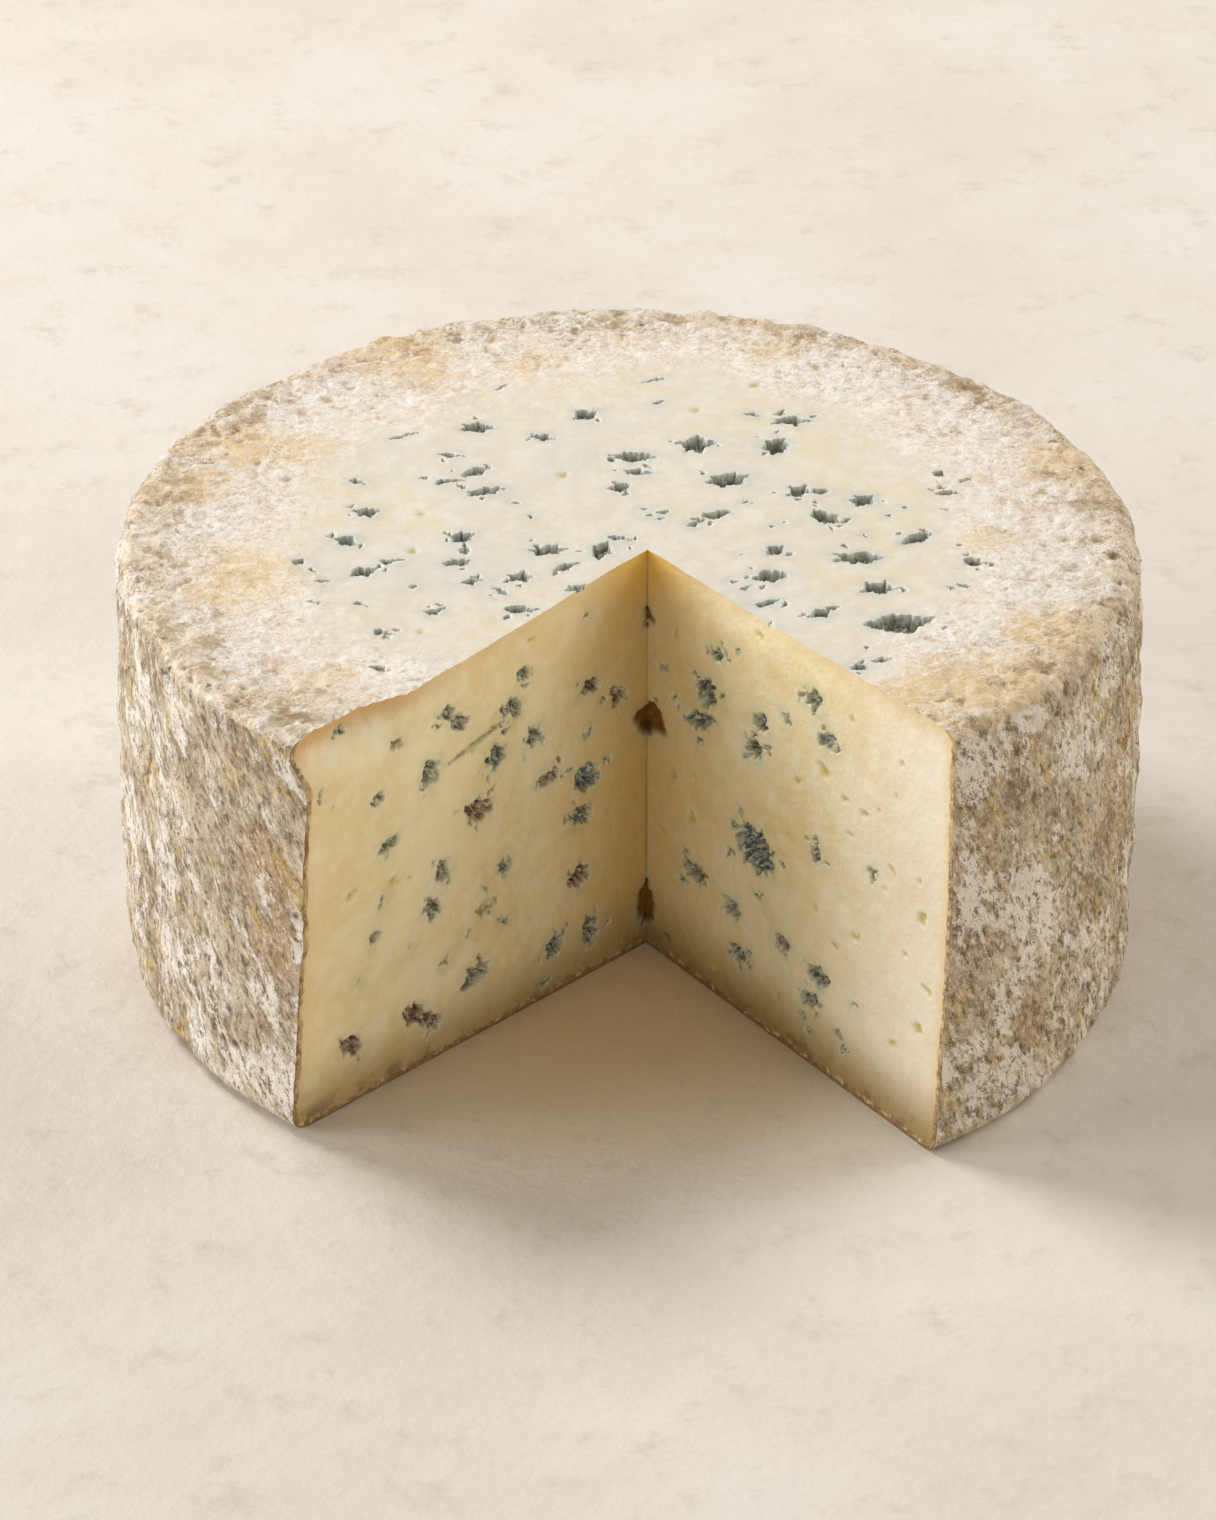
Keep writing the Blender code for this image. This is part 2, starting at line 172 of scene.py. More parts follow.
# along the face from the inner corner, and height
LEFT_OPENINGS = (
    (17, 66.5, 6.8, 4, 0, 5), (8.6, 61.2, 4.8, 4.2, 0, 5), (59.6, 79.6, 5.6, 3.2, 10, 5),
    (55.6, 75.8, 6.6, 4, 22, 5), (40, 72, 6.8, 4.2, 25, 5), (64, 68.4, 5.6, 5, 60, 5),
    (44.4, 63, 6.2, 5.4, 0, 5), (33.4, 63, 5.4, 4.6, 60, 5), (75, 57, 5.6, 3, -25, 4),
    (49.4, 53, 9, 5.6, 35, 6), (29, 51.4, 7, 3.2, 0, 5), (17.4, 46.2, 8, 6, 20, 4),
    (19, 38.4, 6.6, 4.8, 10, 6), (59, 43.4, 5.6, 4.4, 60, 5), (61.4, 36, 5.6, 4.4, 70, 5),
    (41, 36.4, 4.6, 3.8, 80, 5), (46.4, 29, 6, 2.2, 0, 3), (19.4, 24.4, 6.4, 5, 0, 4),
    (82, 14, 7.4, 4.6, 42, 5), (65.4, 13.4, 6.4, 4.6, 20, 5), (60, 8.8, 5, 3.2, 30, 4),
    (48.4, 14.4, 7.4, 5.4, -18, 6), (26, 11, 6, 5.4, 0, 5), (16, 10.2, 7, 4.4, 80, 6),
)
RIGHT_OPENINGS = (
    (21.4, 76, 4.2, 3.6, 0, 5), (18.4, 66, 7, 6.4, 40, 6), (16, 58.8, 10.4, 4.2, 20, 6),
    (35, 66.8, 5.6, 4, 10, 5), (33.4, 60.6, 5.2, 4.6, 0, 5), (51, 79, 5.2, 3.8, 0, 5),
    (55, 72.4, 5.2, 4, 20, 5), (53.4, 46.4, 4.6, 4.2, 30, 5), (34, 38.8, 12.5, 9.6, -25, 7),
    (28, 22, 5.2, 4.4, 0, 5), (44.4, 22.4, 4.8, 3.2, 0, 4), (15.4, 24.4, 9, 4.4, 8, 6),
    (55.4, 20.4, 6.8, 4.6, 0, 5), (53.8, 14.2, 6.2, 3.4, 10, 5), (30, 12.6, 5, 4.2, 0, 5),
)
# in the inner corner: offset across it, and height
CORNER_OPENINGS = (
    (0.2, 75, 3.6, 2.8, 90, 3),
    (0.6, 52, 8.4, 6.4, 78, 4),
    (0, 9, 11, 3.4, 90, 4),
)

# openings too small for the solid
TOP_SPECKS = (
    (-45, 40.6, 7, 1.2, 22, 3), (-25.5, 62, 4, 1, 42, 3), (5.5, 65, 5.5, 1.4, 30, 4),
    (6.5, 55, 3, 1.4, 30, 3), (-31.4, -6.4, 3.6, 2.2, 80, 5), (-24, -22.4, 4, 1.8, -42, 4),
    (-10, -21.8, 4.6, 2, 35, 4), (-51, -27.5, 3.6, 1.5, -20, 3), (-63.4, -11, 3, 2, 60, 4),
    (-60.8, -14, 2.4, 1.4, -30, 3), (-58.6, -18.8, 3, 1.4, 10, 4), (-60, -27, 3, 1, 0, 3),
    (-46.4, -52, 4.6, 1.8, -20, 4), (-53, 21.6, 4.4, 1.8, -25, 4), (25, 50, 3.6, 1.5, -10, 4),
    (29.8, 43, 1.8, 1.2, 60, 3), (37.6, 17.6, 4, 2.6, 10, 4), (36.6, 13, 1.8, 1.6, 0, 3),
    (42.4, 5.6, 3, 1.6, 30, 3), (3.4, 10.6, 2, 1.2, 20, 3), (6.8, 9.6, 3, 1.4, 10, 4),
    (4.4, 8, 2, 1.2, -30, 3), (6.8, 6.8, 1.6, 1, 0, 3), (64, -4.6, 1.8, 1.4, 20, 3),
    (64.4, -20.6, 3.2, 1.5, -25, 4), (62, -21.6, 1.6, 1.2, 0, 3), (20.4, -18.4, 1.6, 1.2, 0, 3),
    (22.4, -21, 2.6, 1, 35, 3), (26.8, -35.4, 2.8, 1.4, 60, 3), (47.4, -49.4, 3.6, 1.6, 15, 4),
    (45, -44.4, 1.4, 1.2, 0, 3), (61.4, 24.6, 3.2, 2, 62, 4), (66.4, 22, 2.2, 1.2, 30, 3),
    (54, 10.8, 1.4, 1.2, 0, 3), (50.8, 8, 1.4, 1, 40, 3), (46, 0, 1.6, 0.9, 0, 3), (31, 4.6, 1, 1, 0, 3),
    (28, 3, 1.6, 1, 15, 3), (22, -8, 1.6, 1, 0, 3), (23.6, 13, 2, 0.9, 5, 3),
    (-21.6, 13.2, 1.8, 1.1, -25, 3), (-18.4, 7, 1.6, 1.4, 0, 3), (-41, -21, 1.6, 1.2, 40, 3),
    (-27.4, -18.8, 1.2, 1, 0, 3), (-26, -24, 1.2, 1, 0, 3), (62, 10, 1.6, 1, 0, 3),
)
# the first of these is the slit that a piercing needle left
LEFT_SPECKS = (
    (50.5, 69, 15, 1.1, -9, 2), (37, 78, 4.4, 2.8, 20, 5), (74.4, 80, 3.8, 2.8, 30, 5),
    (79, 69, 3.2, 3.6, 20, 5), (18.6, 82.4, 2.2, 1.4, -20, 3), (45, 70, 3.6, 1.4, 30, 4),
    (12.6, 62, 2, 1.4, 0, 3), (17, 56.4, 3.4, 1.8, -30, 4), (23, 50.4, 3.4, 1.4, 10, 3),
    (77.4, 37.4, 2.4, 3.4, 0, 4), (75.6, 45, 2.2, 3.2, 20, 4), (46.4, 33.6, 1.4, 1.1, 0, 3),
    (41, 24, 3.8, 1.5, 35, 4), (57, 21.6, 2.4, 1.8, 20, 4), (28, 3.6, 3, 1.4, 0, 3),
    (36, 59.4, 1.6, 1.2, 30, 3), (66.6, 30, 1.4, 1, 0, 3), (86.4, 87, 4, 1.8, 0, 4),
    (51, 25.6, 3, 1, -20, 3), (15.6, 6.8, 2.8, 1.6, 0, 4), (95, 78, 1.6, 2.4, 0, 3),
    (81.4, 28.6, 1.4, 1, 0, 3),
)
RIGHT_SPECKS = (
    (16.4, 54.6, 2.4, 2, 0, 4), (70.4, 50, 3.4, 2.6, 60, 4), (43, 71.4, 3.4, 1.8, -30, 4),
    (28, 79.6, 2.4, 1.2, 0, 3), (28, 41, 2.6, 2, 40, 4), (27, 34.4, 3, 1.6, 30, 4),
    (51.4, 9.6, 2.6, 1.5, -20, 3), (53.6, 7, 2.6, 1.4, 30, 3), (62.6, 11, 3, 1.2, 5, 3),
    (64, 8, 3.6, 1.2, 25, 3), (67, 19.4, 2.8, 1.6, 20, 4), (36, 29, 3, 1.2, 10, 3),
    (4.4, 65.6, 4.4, 1, 10, 3), (12, 20.6, 4.6, 1.1, 10, 3), (12.6, 27.4, 3.6, 1.1, 0, 3),
    (33, 14.6, 2.6, 1.6, 30, 4),
)
# tints of single openings, by their place in the lists: the mould is grey-green where nothing is said
BLUE = 0.8
BROWN = 1.0
OLIVE = 1.2
AMBER = 1.4
FIRST_SPECK = 100
TOP_TINTS = {101: BROWN, **dict.fromkeys((4, 7, 8, 9, 23, 119, 120, 121, 122), BLUE)}
LEFT_TINTS = {**dict.fromkeys((0, 1, 9, 10, 17, 18, 19, 20, 102), BROWN), 4: BLUE, 6: BLUE, 11: BLUE,
              16: OLIVE, 100: OLIVE}
RIGHT_TINTS = {6: BLUE, 8: BLUE, 10: BROWN}
CORNER_TINTS = dict.fromkeys(range(len(CORNER_OPENINGS)), AMBER)
# satellites: small gaps that crumbled off beside each main opening
SATELLITES = (1, 3)
SATELLITE_SIZE = (0.8, 1.9)
SATELLITE_DISTANCE = (0.55, 0.80)
SATELLITE_SPREAD = (0.4, 0.6)
SATELLITE_STRETCH = (1.3, 0.8)
SATELLITE_KEYS = (200, 900)

# clean yellowish pits: first and second coordinate, diameter in millimetres
TOP_PITS = (
    (-51, 53, 2.2), (-60, 56.4, 2.8), (-65, 51, 3), (-27, 83, 3.2), (-28.5, 78, 2), (-41.5, 78.6, 2),
    (-12.5, 24.6, 2.4), (-40, 8.6, 2.4), (-41.5, -6.4, 2.2), (14, 52, 2.6), (26, 62.4, 2.2), (-67, 23, 1.8),
    (-39, -38, 1.6), (85, -2, 2.6), (-73.6, 40, 4), (-84.6, 21.4, 4.4), (-86, 15, 2.6), (38.4, 70.8, 2.4),
    (57, 54, 1.6),
)
LEFT_PITS = ((73, 48.4, 2.4), (68, 46.4, 1.6), (85, 50, 2.2), (52, 68.2, 2), (91.4, 74, 1.4), (35, 85, 1.6))
RIGHT_PITS = (
    (54.4, 65.6, 3.2), (46.6, 59.4, 2.4), (61, 62, 2.2), (67, 61.6, 2.2), (75.4, 54, 2.2), (84, 55, 2),
    (85, 48, 2.6), (81, 38, 1.8), (87.6, 33.6, 2.2), (86, 24, 3), (66.4, 34.4, 2.4), (54, 34.4, 1.8),
    (8, 43.4, 2.6), (14.4, 36, 2.6), (23, 6, 2.4), (79.4, 17, 2), (43, 10, 2), (5, 29, 2), (9, 75, 2),
    (34.4, 86, 2), (77, 77, 1.6), (71, 64.6, 1.4), (45, 46.6, 1.4), (15, 45.6, 1.6), (60, 29, 1.8),
    (62, 80, 1.8), (75.4, 69.6, 1.6), (63, 55.4, 1.8),
)

# openings, specks, pits and tints of each face (-1 is the left cut face and 1 the right one), then the
# seed, how far the outlines are warped, how rough the walls are and how hollow the sides are
ALL_OPENINGS = {
    "top": (TOP_OPENINGS, TOP_SPECKS, TOP_PITS, TOP_TINTS, 1, 0.0006, 0.5, 0.9),
    -1: (LEFT_OPENINGS, LEFT_SPECKS, LEFT_PITS, LEFT_TINTS, 2, 0.0012, 1.1, 0.6),
    1: (RIGHT_OPENINGS, RIGHT_SPECKS, RIGHT_PITS, RIGHT_TINTS, 3, 0.0012, 1.1, 0.6),
    "corner": (CORNER_OPENINGS, (), (), CORNER_TINTS, 4, 0.0008, 0.4, 1.0),
}

# patches of the crust: x, y, z and reach in millimetres, and strength
TOP_WARM = (
    (66, -62, 90, 26, 1.0), (80, -38, 90, 16, 0.7), (-64, 34, 90, 12, 0.9), (-76, 38, 90, 14, 0.9),
    (69, -2, 90, 10, 0.6), (-72, -20, 90, 18, 0.6), (-86, 20, 90, 12, 0.7), (-45, 76, 90, 18, 0.9),
    (-58, -60, 90, 14, 0.5), (88, 30, 90, 16, 0.6), (30, 82, 90, 14, 0.4), (-20, 74, 90, 14, 0.4),
)
TOP_DUSKY = (
    (-90, 18, 90, 14, 0.9), (-84, -10, 90, 12, 0.6), (-80, 52, 90, 14, 0.8), (-84, -40, 90, 14, 0.7),
    (-62, -68, 90, 14, 0.8), (70, 66, 90, 18, 0.8), (-6, 92, 90, 16, 0.7), (40, 84, 90, 16, 0.7),
    (92, 10, 90, 12, 0.7), (84, -44, 90, 10, 0.7), (78, 17, 90, 12, 0.6), (-52, 22, 90, 8, 0.5),
    (-76, 20, 90, 8, 0.6), (60, 48, 90, 14, 0.4),
)
SIDE_RUST = (
    (-67, -75, 60, 12, 0.8), (-66, -76, 42, 10, 0.8), (-98, 10, 45, 16, 0.5), (64, -78, 62, 12, 0.5),
    (96, -30, 50, 18, 0.5), (76, -65, 20, 9, 0.6),
)
# where white bloom covers the side, and where it has gone
SIDE_BLOOM = (
    (66, -75, 80, 10, 0.8), (84, -54, 74, 11, 0.9), (66, -75, 54, 10, 0.9), (74, -67, 42, 17, 1.0),
    (70, -71, 28, 14, 0.9), (85, -52, 26, 11, 0.9), (76, -65, 9, 14, 0.7), (100, -6, 76, 16, 0.7),
    (98, -20, 40, 12, 0.6), (-86, -51, 80, 12, 0.8), (-82, -57, 42, 8, 0.8), (-87, -49, 26, 11, 1.0),
    (-74, -67, 8, 10, 0.6), (-97, -24, 40, 14, 0.6), (-20, 98, 60, 22, 0.8), (52, 85, 30, 20, 0.7),
    (-74, 67, 24, 18, 0.7), (94, 34, 66, 18, 0.7), (-96, 28, 74, 16, 0.6), (20, 98, 16, 16, 0.6),
)
SIDE_BARE = (
    (72, -69, 66, 14, 1.0), (85, -53, 58, 17, 1.0), (90, -43, 44, 14, 0.8), (76, -65, 20, 8, 1.0),
    (-68, -73, 68, 26, 1.0), (-71, -70, 28, 20, 1.0), (-75, -66, 52, 18, 0.9), (-93, -37, 56, 14, 0.6),
    (30, 95, 56, 24, 0.8), (-50, 87, 44, 20, 0.8), (80, 60, 50, 20, 0.7), (-92, 40, 40, 18, 0.7),
    (98, 14, 30, 16, 0.7), (-20, 98, 22, 18, 0.7),
)
# a painted highlight: the pale line round an opening
HIGHLIGHT_RING_MIDDLE = 0.00018
HIGHLIGHT_RING_SPREAD = 0.00020

# noise of each kind of relief: width of its features, octaves and shift
CRUST_WANDER = (0.030, 3, 5.0)
WRINKLES = (0.0046, 3, 11.0)
SIDE_GRAINS = (0.0020, 2, 13.0)
SIDE_FLAKES = (0.0090, 4, 31.0)
CRUMBLES = (0.0034, 3, 33.0)
TOP_GRAINS = (0.0019, 3, 17.0)
TOP_LUMPS = (0.0075, 2, 23.0)
TOP_FLAKES = (0.0060, 4, 37.0)
TOP_PASTE = (0.0045, 2, 29.0)
KNIFE_WAVES = (0.018, 2, 41.0)
SCORE_WANDER = (0.03, 1, 43.0)
CURD_GRAIN = (0.0026, 3, 47.0)
WARP_ACROSS = (0.0020, 3, 61.0)
WARP_UP = (0.0020, 3, 67.0)
WALL_ROUGHNESS = (0.0009, 3, 71.0)
# round pits: width of a cell, size of a pit as a share of it, and shift
SIDE_PITS = (0.0044, 0.34, 3.0)
LID_PITS = (0.0052, 0.30, 9.0)
CURD_PITS = (0.0068, 0.16, 51.0)
# chance changes the size of each pit: how fast it varies, the size without it and how much it adds;
# then how much of a pit is its level middle, and the least reach
PIT_CHANCE_SCALE = 7.31
PIT_SIZE = (0.55, 0.6)
PIT_CORE = 0.35
PIT_LEAST = 0.02
# heights and ranges of the relief
CRUST_WANDER_REACH = 0.011
CRUST_RANGE = (0.052, 0.084)
WRINKLE_SHARPNESS = 2.6
WRINKLE_HEIGHT = 0.00016
SIDE_GRAIN_HEIGHT = 0.00024
SIDE_PIT_DEPTH = 0.00045
SIDE_FLAKE_HEIGHT = 0.00024
SIDE_FLAKE_EDGE = (0.02, 0.12)
CRUMBLE_HEIGHT = 0.00045
CRUMBLE_RANGE = (0.078, 0.086)
TOP_GRAIN_HEIGHT = 0.00036
LID_PIT_DEPTH = 0.00065
LID_PIT_INSIDE = 0.3
TOP_LUMP_HEIGHT = 0.0005
TOP_FLAKE_HEIGHT = 0.00042
TOP_FLAKE_EDGE = (0.05, 0.11)
TOP_LUMP_INSIDE = 0.25
TOP_PASTE_HEIGHT = 0.00005
EDGE_RANGE = (0.080, 0.094)
RIM_RANGE = (0.080, 0.095)
FOOT_EASE = 0.0025
KNIFE_WAVE_HEIGHT = 0.00022
SCORE_HEIGHT = 0.000025
SCORE_SPACING = 0.0011
SCORE_LEAN = 0.18
SCORE_WANDERING = 9.0
CURD_GRAIN_HEIGHT = 0.00007
CURD_PIT_DEPTH = 0.00045
# the openings of the inner corner reach this far along the faces
CORNER_RANGE = (0.006, 0.004)
# how deep inside an outline the mould starts and is full, and how much of a patch is at full strength
MOULD_EDGE = (-0.00005, 0.0004)
PATCH_CORE = 0.25
# width of the flat map in wheel radii, and the fine relief that the finishes take as 1
MAP_SPREAD = 2.2
RELIEF_RANGE = 0.0005
# the crust's grain slants: turn in radians per metre of height, and how much it is drawn out
GRAIN_TWIST = 3.5
GRAIN_STRETCH = 0.60
# the crust is calmer beside the cut: how much of its slow and fine relief is left, and how far round
CALM_SLOW = 0.25
CALM_FINE = 0.40
CALM_SPREAD = 6.0
FOOT_STEP = 0.0040


def colour(red, green, blue):
    """A colour from its everyday 0 to 255 values."""
    shares = [value / 255.0 for value in (red, green, blue)]
    linear = [share / 12.92 if share <= 0.04045 else ((share + 0.055) / 1.055) ** 2.4 for share in shares]
    return (*linear, 1.0)


# colours of the paste and its mould
TOP_IVORY = colour(230, 222, 207)
TOP_CREAM = colour(232, 221, 196)
TOP_CURD = colour(238, 234, 222)
TOP_BLUISH = colour(220, 219, 211)
TOP_PIT = colour(220, 204, 140)
# painted highlight round the openings of the top
TOP_HIGHLIGHT = colour(252, 250, 242)
CUT_CREAM = colour(246, 234, 196)
CUT_BUTTER = colour(242, 222, 172)
# whiter curds of the cut paste, also used as the painted highlight round its openings
CUT_CURD_AND_HIGHLIGHT = colour(250, 242, 214)
CUT_PALE = colour(239, 231, 220)
# warmer, darker paste towards the inner corner: partly the paste's own tone, partly painted shade in the
# corner
CUT_WARM_AND_SHADE = colour(196, 158, 78)
CUT_GLOW = colour(238, 194, 96)
CUT_EDGE = colour(236, 208, 152)
CUT_OLIVE = colour(224, 206, 142)
CUT_BUFF = colour(240, 208, 156)
# dark smears near the foot of a cut face, partly painted shade where it meets the floor
CUT_SMEAR_AND_SHADE = colour(116, 96, 64)
# painted shade, darker towards the foot of each cut face
CUT_PAINTED_SHADE = colour(158, 132, 74)
CUT_PIT = colour(208, 188, 106)
CUT_RUST = colour(218, 172, 112)
# painted shade along the inner corner, where the two cut faces meet
PAINTED_CREASE_SHADE = colour(150, 112, 56)
HALO_TOP = colour(168, 190, 192)
HALO_CUT = colour(180, 192, 164)
HALO_STRENGTH = 0.75
# mould on the top and on the cut faces: green, blue, brown, olive, amber, then pale powder and dust
TOP_MOULD = [colour(*shade) for shade in (
    (138, 140, 126), (136, 146, 148), (140, 124, 108), (160, 152, 92), (128, 92, 40),
    (190, 190, 176), (196, 182, 160))]
CUT_MOULD = [colour(*shade) for shade in (
    (108, 110, 92), (102, 114, 114), (120, 92, 76), (186, 174, 84), (140, 100, 36),
    (208, 208, 192), (208, 184, 160))]
MOULD_CRUMB = colour(232, 222, 190)

# colours of the crust, and of the crust in section
LID_TAN = colour(246, 231, 216)
LID_BLOOM = colour(252, 242, 230)
LID_OCHRE = colour(242, 214, 164)
# white of the bloom, also used as the painted highlight on the ridges of the relief
LID_WHITE_AND_HIGHLIGHT = colour(255, 252, 246)
LID_GREY = colour(196, 174, 138)
# darker tan that varies at random, partly painted shade between the grains and flakes
LID_DUSK_AND_GRAIN_SHADE = colour(216, 194, 172)
# dark of the cracks, also used as the painted shade in the hollows of the relief
LID_CRACK_AND_SHADE = colour(160, 132, 96)
LID_RIM = colour(232, 206, 168)
SIDE_BROWN = colour(170, 151, 126)
SIDE_TAN = colour(207, 192, 169)
SIDE_OCHRE = colour(204, 178, 114)
SIDE_OLIVE = colour(168, 154, 116)
SIDE_RUSTY = colour(186, 140, 92)
SIDE_WHITE = colour(252, 245, 235)
SIDE_GRAIN = colour(236, 223, 202)
SIDE_DARK = colour(114, 93, 64)
SIDE_PIT = colour(98, 80, 56)
SECTION_BROWN = colour(134, 102, 66)
SECTION_PALE = colour(220, 194, 158)

# noise of each pattern of colour: width of its features in metres, detail and roughness
MOULD_STREAKS = (0.0012, 3.0, 0.7)
HALO_NOISE = (0.0024, 3.0, 0.65)
CRACK_NOISE = (0.0044, 4.0, 0.72)
CRACK_SPREAD = (0.0098, 3.0, 0.7)
CRUMB_NOISE = (0.0015, 4.0, 0.75)
SOFT_NOISE = (0.0037, 2.0, 0.55)
TOP_WANDER_NOISE = (0.0065, 5.0, 0.78)
LID_WANDER_NOISE = (0.0045, 4.0, 0.78)
CUT_WANDER_NOISE = (0.0032, 4.0, 0.7)
CUT_FINE_NOISE = (0.0011, 3.0, 0.65)
SECTION_NOISE = (0.0019, 4.0, 0.75)
FLOOR_BROAD = (0.10, 4.0, 0.65)
FLOOR_FINE = (0.013, 4.0, 0.72)
TOP_NOISE = {"broad": (0.028, 3.0, 0.55), "curds": (0.0042, 3.0, 0.6)}
LID_NOISE = {"patches": (0.016, 4.0, 0.68), "flaky": (0.0036, 6.0, 0.84), "grain": (0.0013, 5.0, 0.82),
             "band": (0.0085, 5.0, 0.78), "flecks": (0.0050, 6.0, 0.84)}
SIDE_NOISE = {"broad": (0.0135, 3.0, 0.7), "patches": (0.0085, 5.0, 0.76)}
SIDE_GRAIN_NOISE = {"white": (0.0092, 6.0, 0.84), "grain": (0.0015, 5.0, 0.8)}
CUT_NOISE = {"broad": (0.028, 3.0, 0.55), "olive": (0.019, 4.0, 0.6), "buff": (0.023, 3.0, 0.6),
             "curds": (0.0045, 3.0, 0.6), "smears_and_shade": (0.0085, 5.0, 0.75)}
# steps: value where the step starts, value where it is full, then its low and high end if not 0 and 1
BLUE_STEP = (0.50, 0.70)
BROWN_STEP = (0.86, 0.93)
OLIVE_STEP = (1.05, 1.15)
AMBER_STEP = (1.25, 1.35)
NOT_AMBER = (1.3, 1.2)
POWDER_STEP = (0.42, 0.57)
CRUMB_STEP = (0.56, 0.62)
HALO_STEP = (0.3, 0.62, 0.25, 1.0)
CRACK_STEP = (0.46, 0.60)
CRACK_EDGE = (0.020, 0.005)
CRACK_RIM = (0.0, 0.8, 0.25, 1.0)
OCHRE_STEP = (0.47, 0.36, 0.0, 0.5)
GLOW_STEP = (0.56, 0.42, 0.25, 0.65)
# dark smears near the foot, partly painted shade
BAND_STEP = (0.40, 0.56, 0.05, 0.55)
BAND_RIM = (0.5, 1.0)
TOP_WANDER = (0.25, 0.75, -0.35, 0.35)
TOP_BLEND = (0.15, 1.2)
LID_WANDER = (0.25, 0.75, -0.25, 0.25)
LID_BLEND = (0.35, 0.70)
CUT_WANDER = (0.2, 0.8, -1.0, 1.0)
SMEAR_AND_SHADE_STEP = (0.46, 0.60, 0.0, 0.8)
SECTION_STEP = (0.44, 0.62)
SECTION_BREAKS = (-0.35, 0.25, 0.55, 1.0)
FLOOR_STEP = (0.35, 0.65)
SPOT_STEP = (0.52, 0.74, 0.0, 0.55)
# steps on a cut face, in millimetres along it, up it, down it or in from the crust
PALE_ALONG = (45.0, 85.0)
# warm colour that is partly painted shade, towards the inner corner: where it starts and is full, in
# millimetres along the face
WARM_AND_SHADE_ALONG = (34.0, 0.0)
GLOW_ALONG = (17.0, 0.0)
GLOW_DOWN = (14.0, 0.0, 0.0, 0.9)
RUST_ALONG = (52.0, 80.0)
RUST_DOWN = (6.0, 0.5)
# painted shade towards the foot: where it starts and where it is full, in millimetres up the face
PAINTED_SHADE_UP = (18.0, 0.5)
# dark smears that are partly painted shade: where they start and are full, in millimetres up the face
SMEAR_AND_SHADE_UP = (6.5, 1.0)
# painted shade along the inner corner: where it starts and is full, in millimetres along the face, then its
# low and high end
PAINTED_CREASE_SHADE_ALONG = (0.5, 0.1, 0.0, 0.35)
SECTION_EDGE = (0.75, 0.35)
SECTION_WIDTH = (1.7, 1.1)
FOOT_SECTION = 0.3
OUTWARD_WANDER = 0.45
LOW_WANDER = 0.7
# how strong each cut face is in warm colour (partly painted shade towards the inner corner), pale and rusty
# colour, and painted shade towards the foot
CUT_SHARES = {"cut_left": (0.75, 0.1, 0.85, 0.75), "cut_right": (0.55, 0.55, 0.3, 0.95)}
# strengths and shifts of the other patterns
TOP_CRUMBS = 0.3
CUT_CRUMBS = 0.7
# strength of the painted highlight round the openings, on the top and on the cut faces
TOP_HIGHLIGHT_SHARE = 0.85
CUT_HIGHLIGHT_SHARE = 0.35
CUT_PIT_SHARE = 0.9
CRUST_GAIN = 1.5
LID_CRACKS = 0.95
SIDE_CRACKS = 0.55
RIM_FLECKS = 0.06
DUSKY_FLECKS = 0.08
BLOOM_SHIFT = 0.055
RUST_SHIFT = -0.04
RUST_STRENGTH = 0.6
# coats of colour, from the lowest up: pattern, step on it (none where the pattern is a share itself), colour
TOP_COATS = (
    ("broad", (0.36, 0.56), TOP_IVORY),
    ("curds", (0.45, 0.62, 0.0, 0.55), TOP_CURD),
    ("broad", (0.54, 0.68, 0.0, 0.4), TOP_BLUISH),
)
LID_COATS = (
    ("patches", (0.42, 0.60), LID_BLOOM),
    ("ochre", (0.1, 1.0, 0.0, 0.85), LID_OCHRE),
    # white grains and flakes, with darker tan between them that is partly painted shade
    ("flaky", (0.50, 0.57, 0.0, 0.85), LID_WHITE_AND_HIGHLIGHT),
    ("flaky", (0.46, 0.39, 0.0, 0.8), LID_DUSK_AND_GRAIN_SHADE),
    ("grain", (0.52, 0.59, 0.0, 0.55), LID_WHITE_AND_HIGHLIGHT),
    ("grain", (0.47, 0.41, 0.0, 0.6), LID_DUSK_AND_GRAIN_SHADE),
    ("glow", (), LID_OCHRE),
    ("band", (), LID_RIM),
    ("flecks", (0.57, 0.65, 0.0, 0.8), LID_GREY),
    ("cracks", (), LID_CRACK_AND_SHADE),
    # painted highlight on the ridges of the fine relief, and painted shade in its hollows
    ("relief", (0.8, 1.8, 0.0, 0.3), LID_WHITE_AND_HIGHLIGHT),
    ("relief", (-0.2, -0.8, 0.0, 0.7), LID_CRACK_AND_SHADE),
)
SIDE_COATS = (
    ("broad", (0.38, 0.60), SIDE_TAN),
    ("patches", (0.53, 0.63, 0.0, 0.85), SIDE_OCHRE),
    ("patches", (0.43, 0.36, 0.0, 0.6), SIDE_OLIVE),
    ("rust", (), SIDE_RUSTY),
    ("white", (0.490, 0.560, 0.0, 0.85), SIDE_WHITE),
    ("grain", (0.53, 0.60, 0.0, 0.7), SIDE_GRAIN),
    ("grain", (0.47, 0.40, 0.0, 0.85), SIDE_DARK),
    ("cracks", (), SIDE_PIT),
    ("relief", (0.0, -1.0, 0.0, 0.8), SIDE_PIT),
)
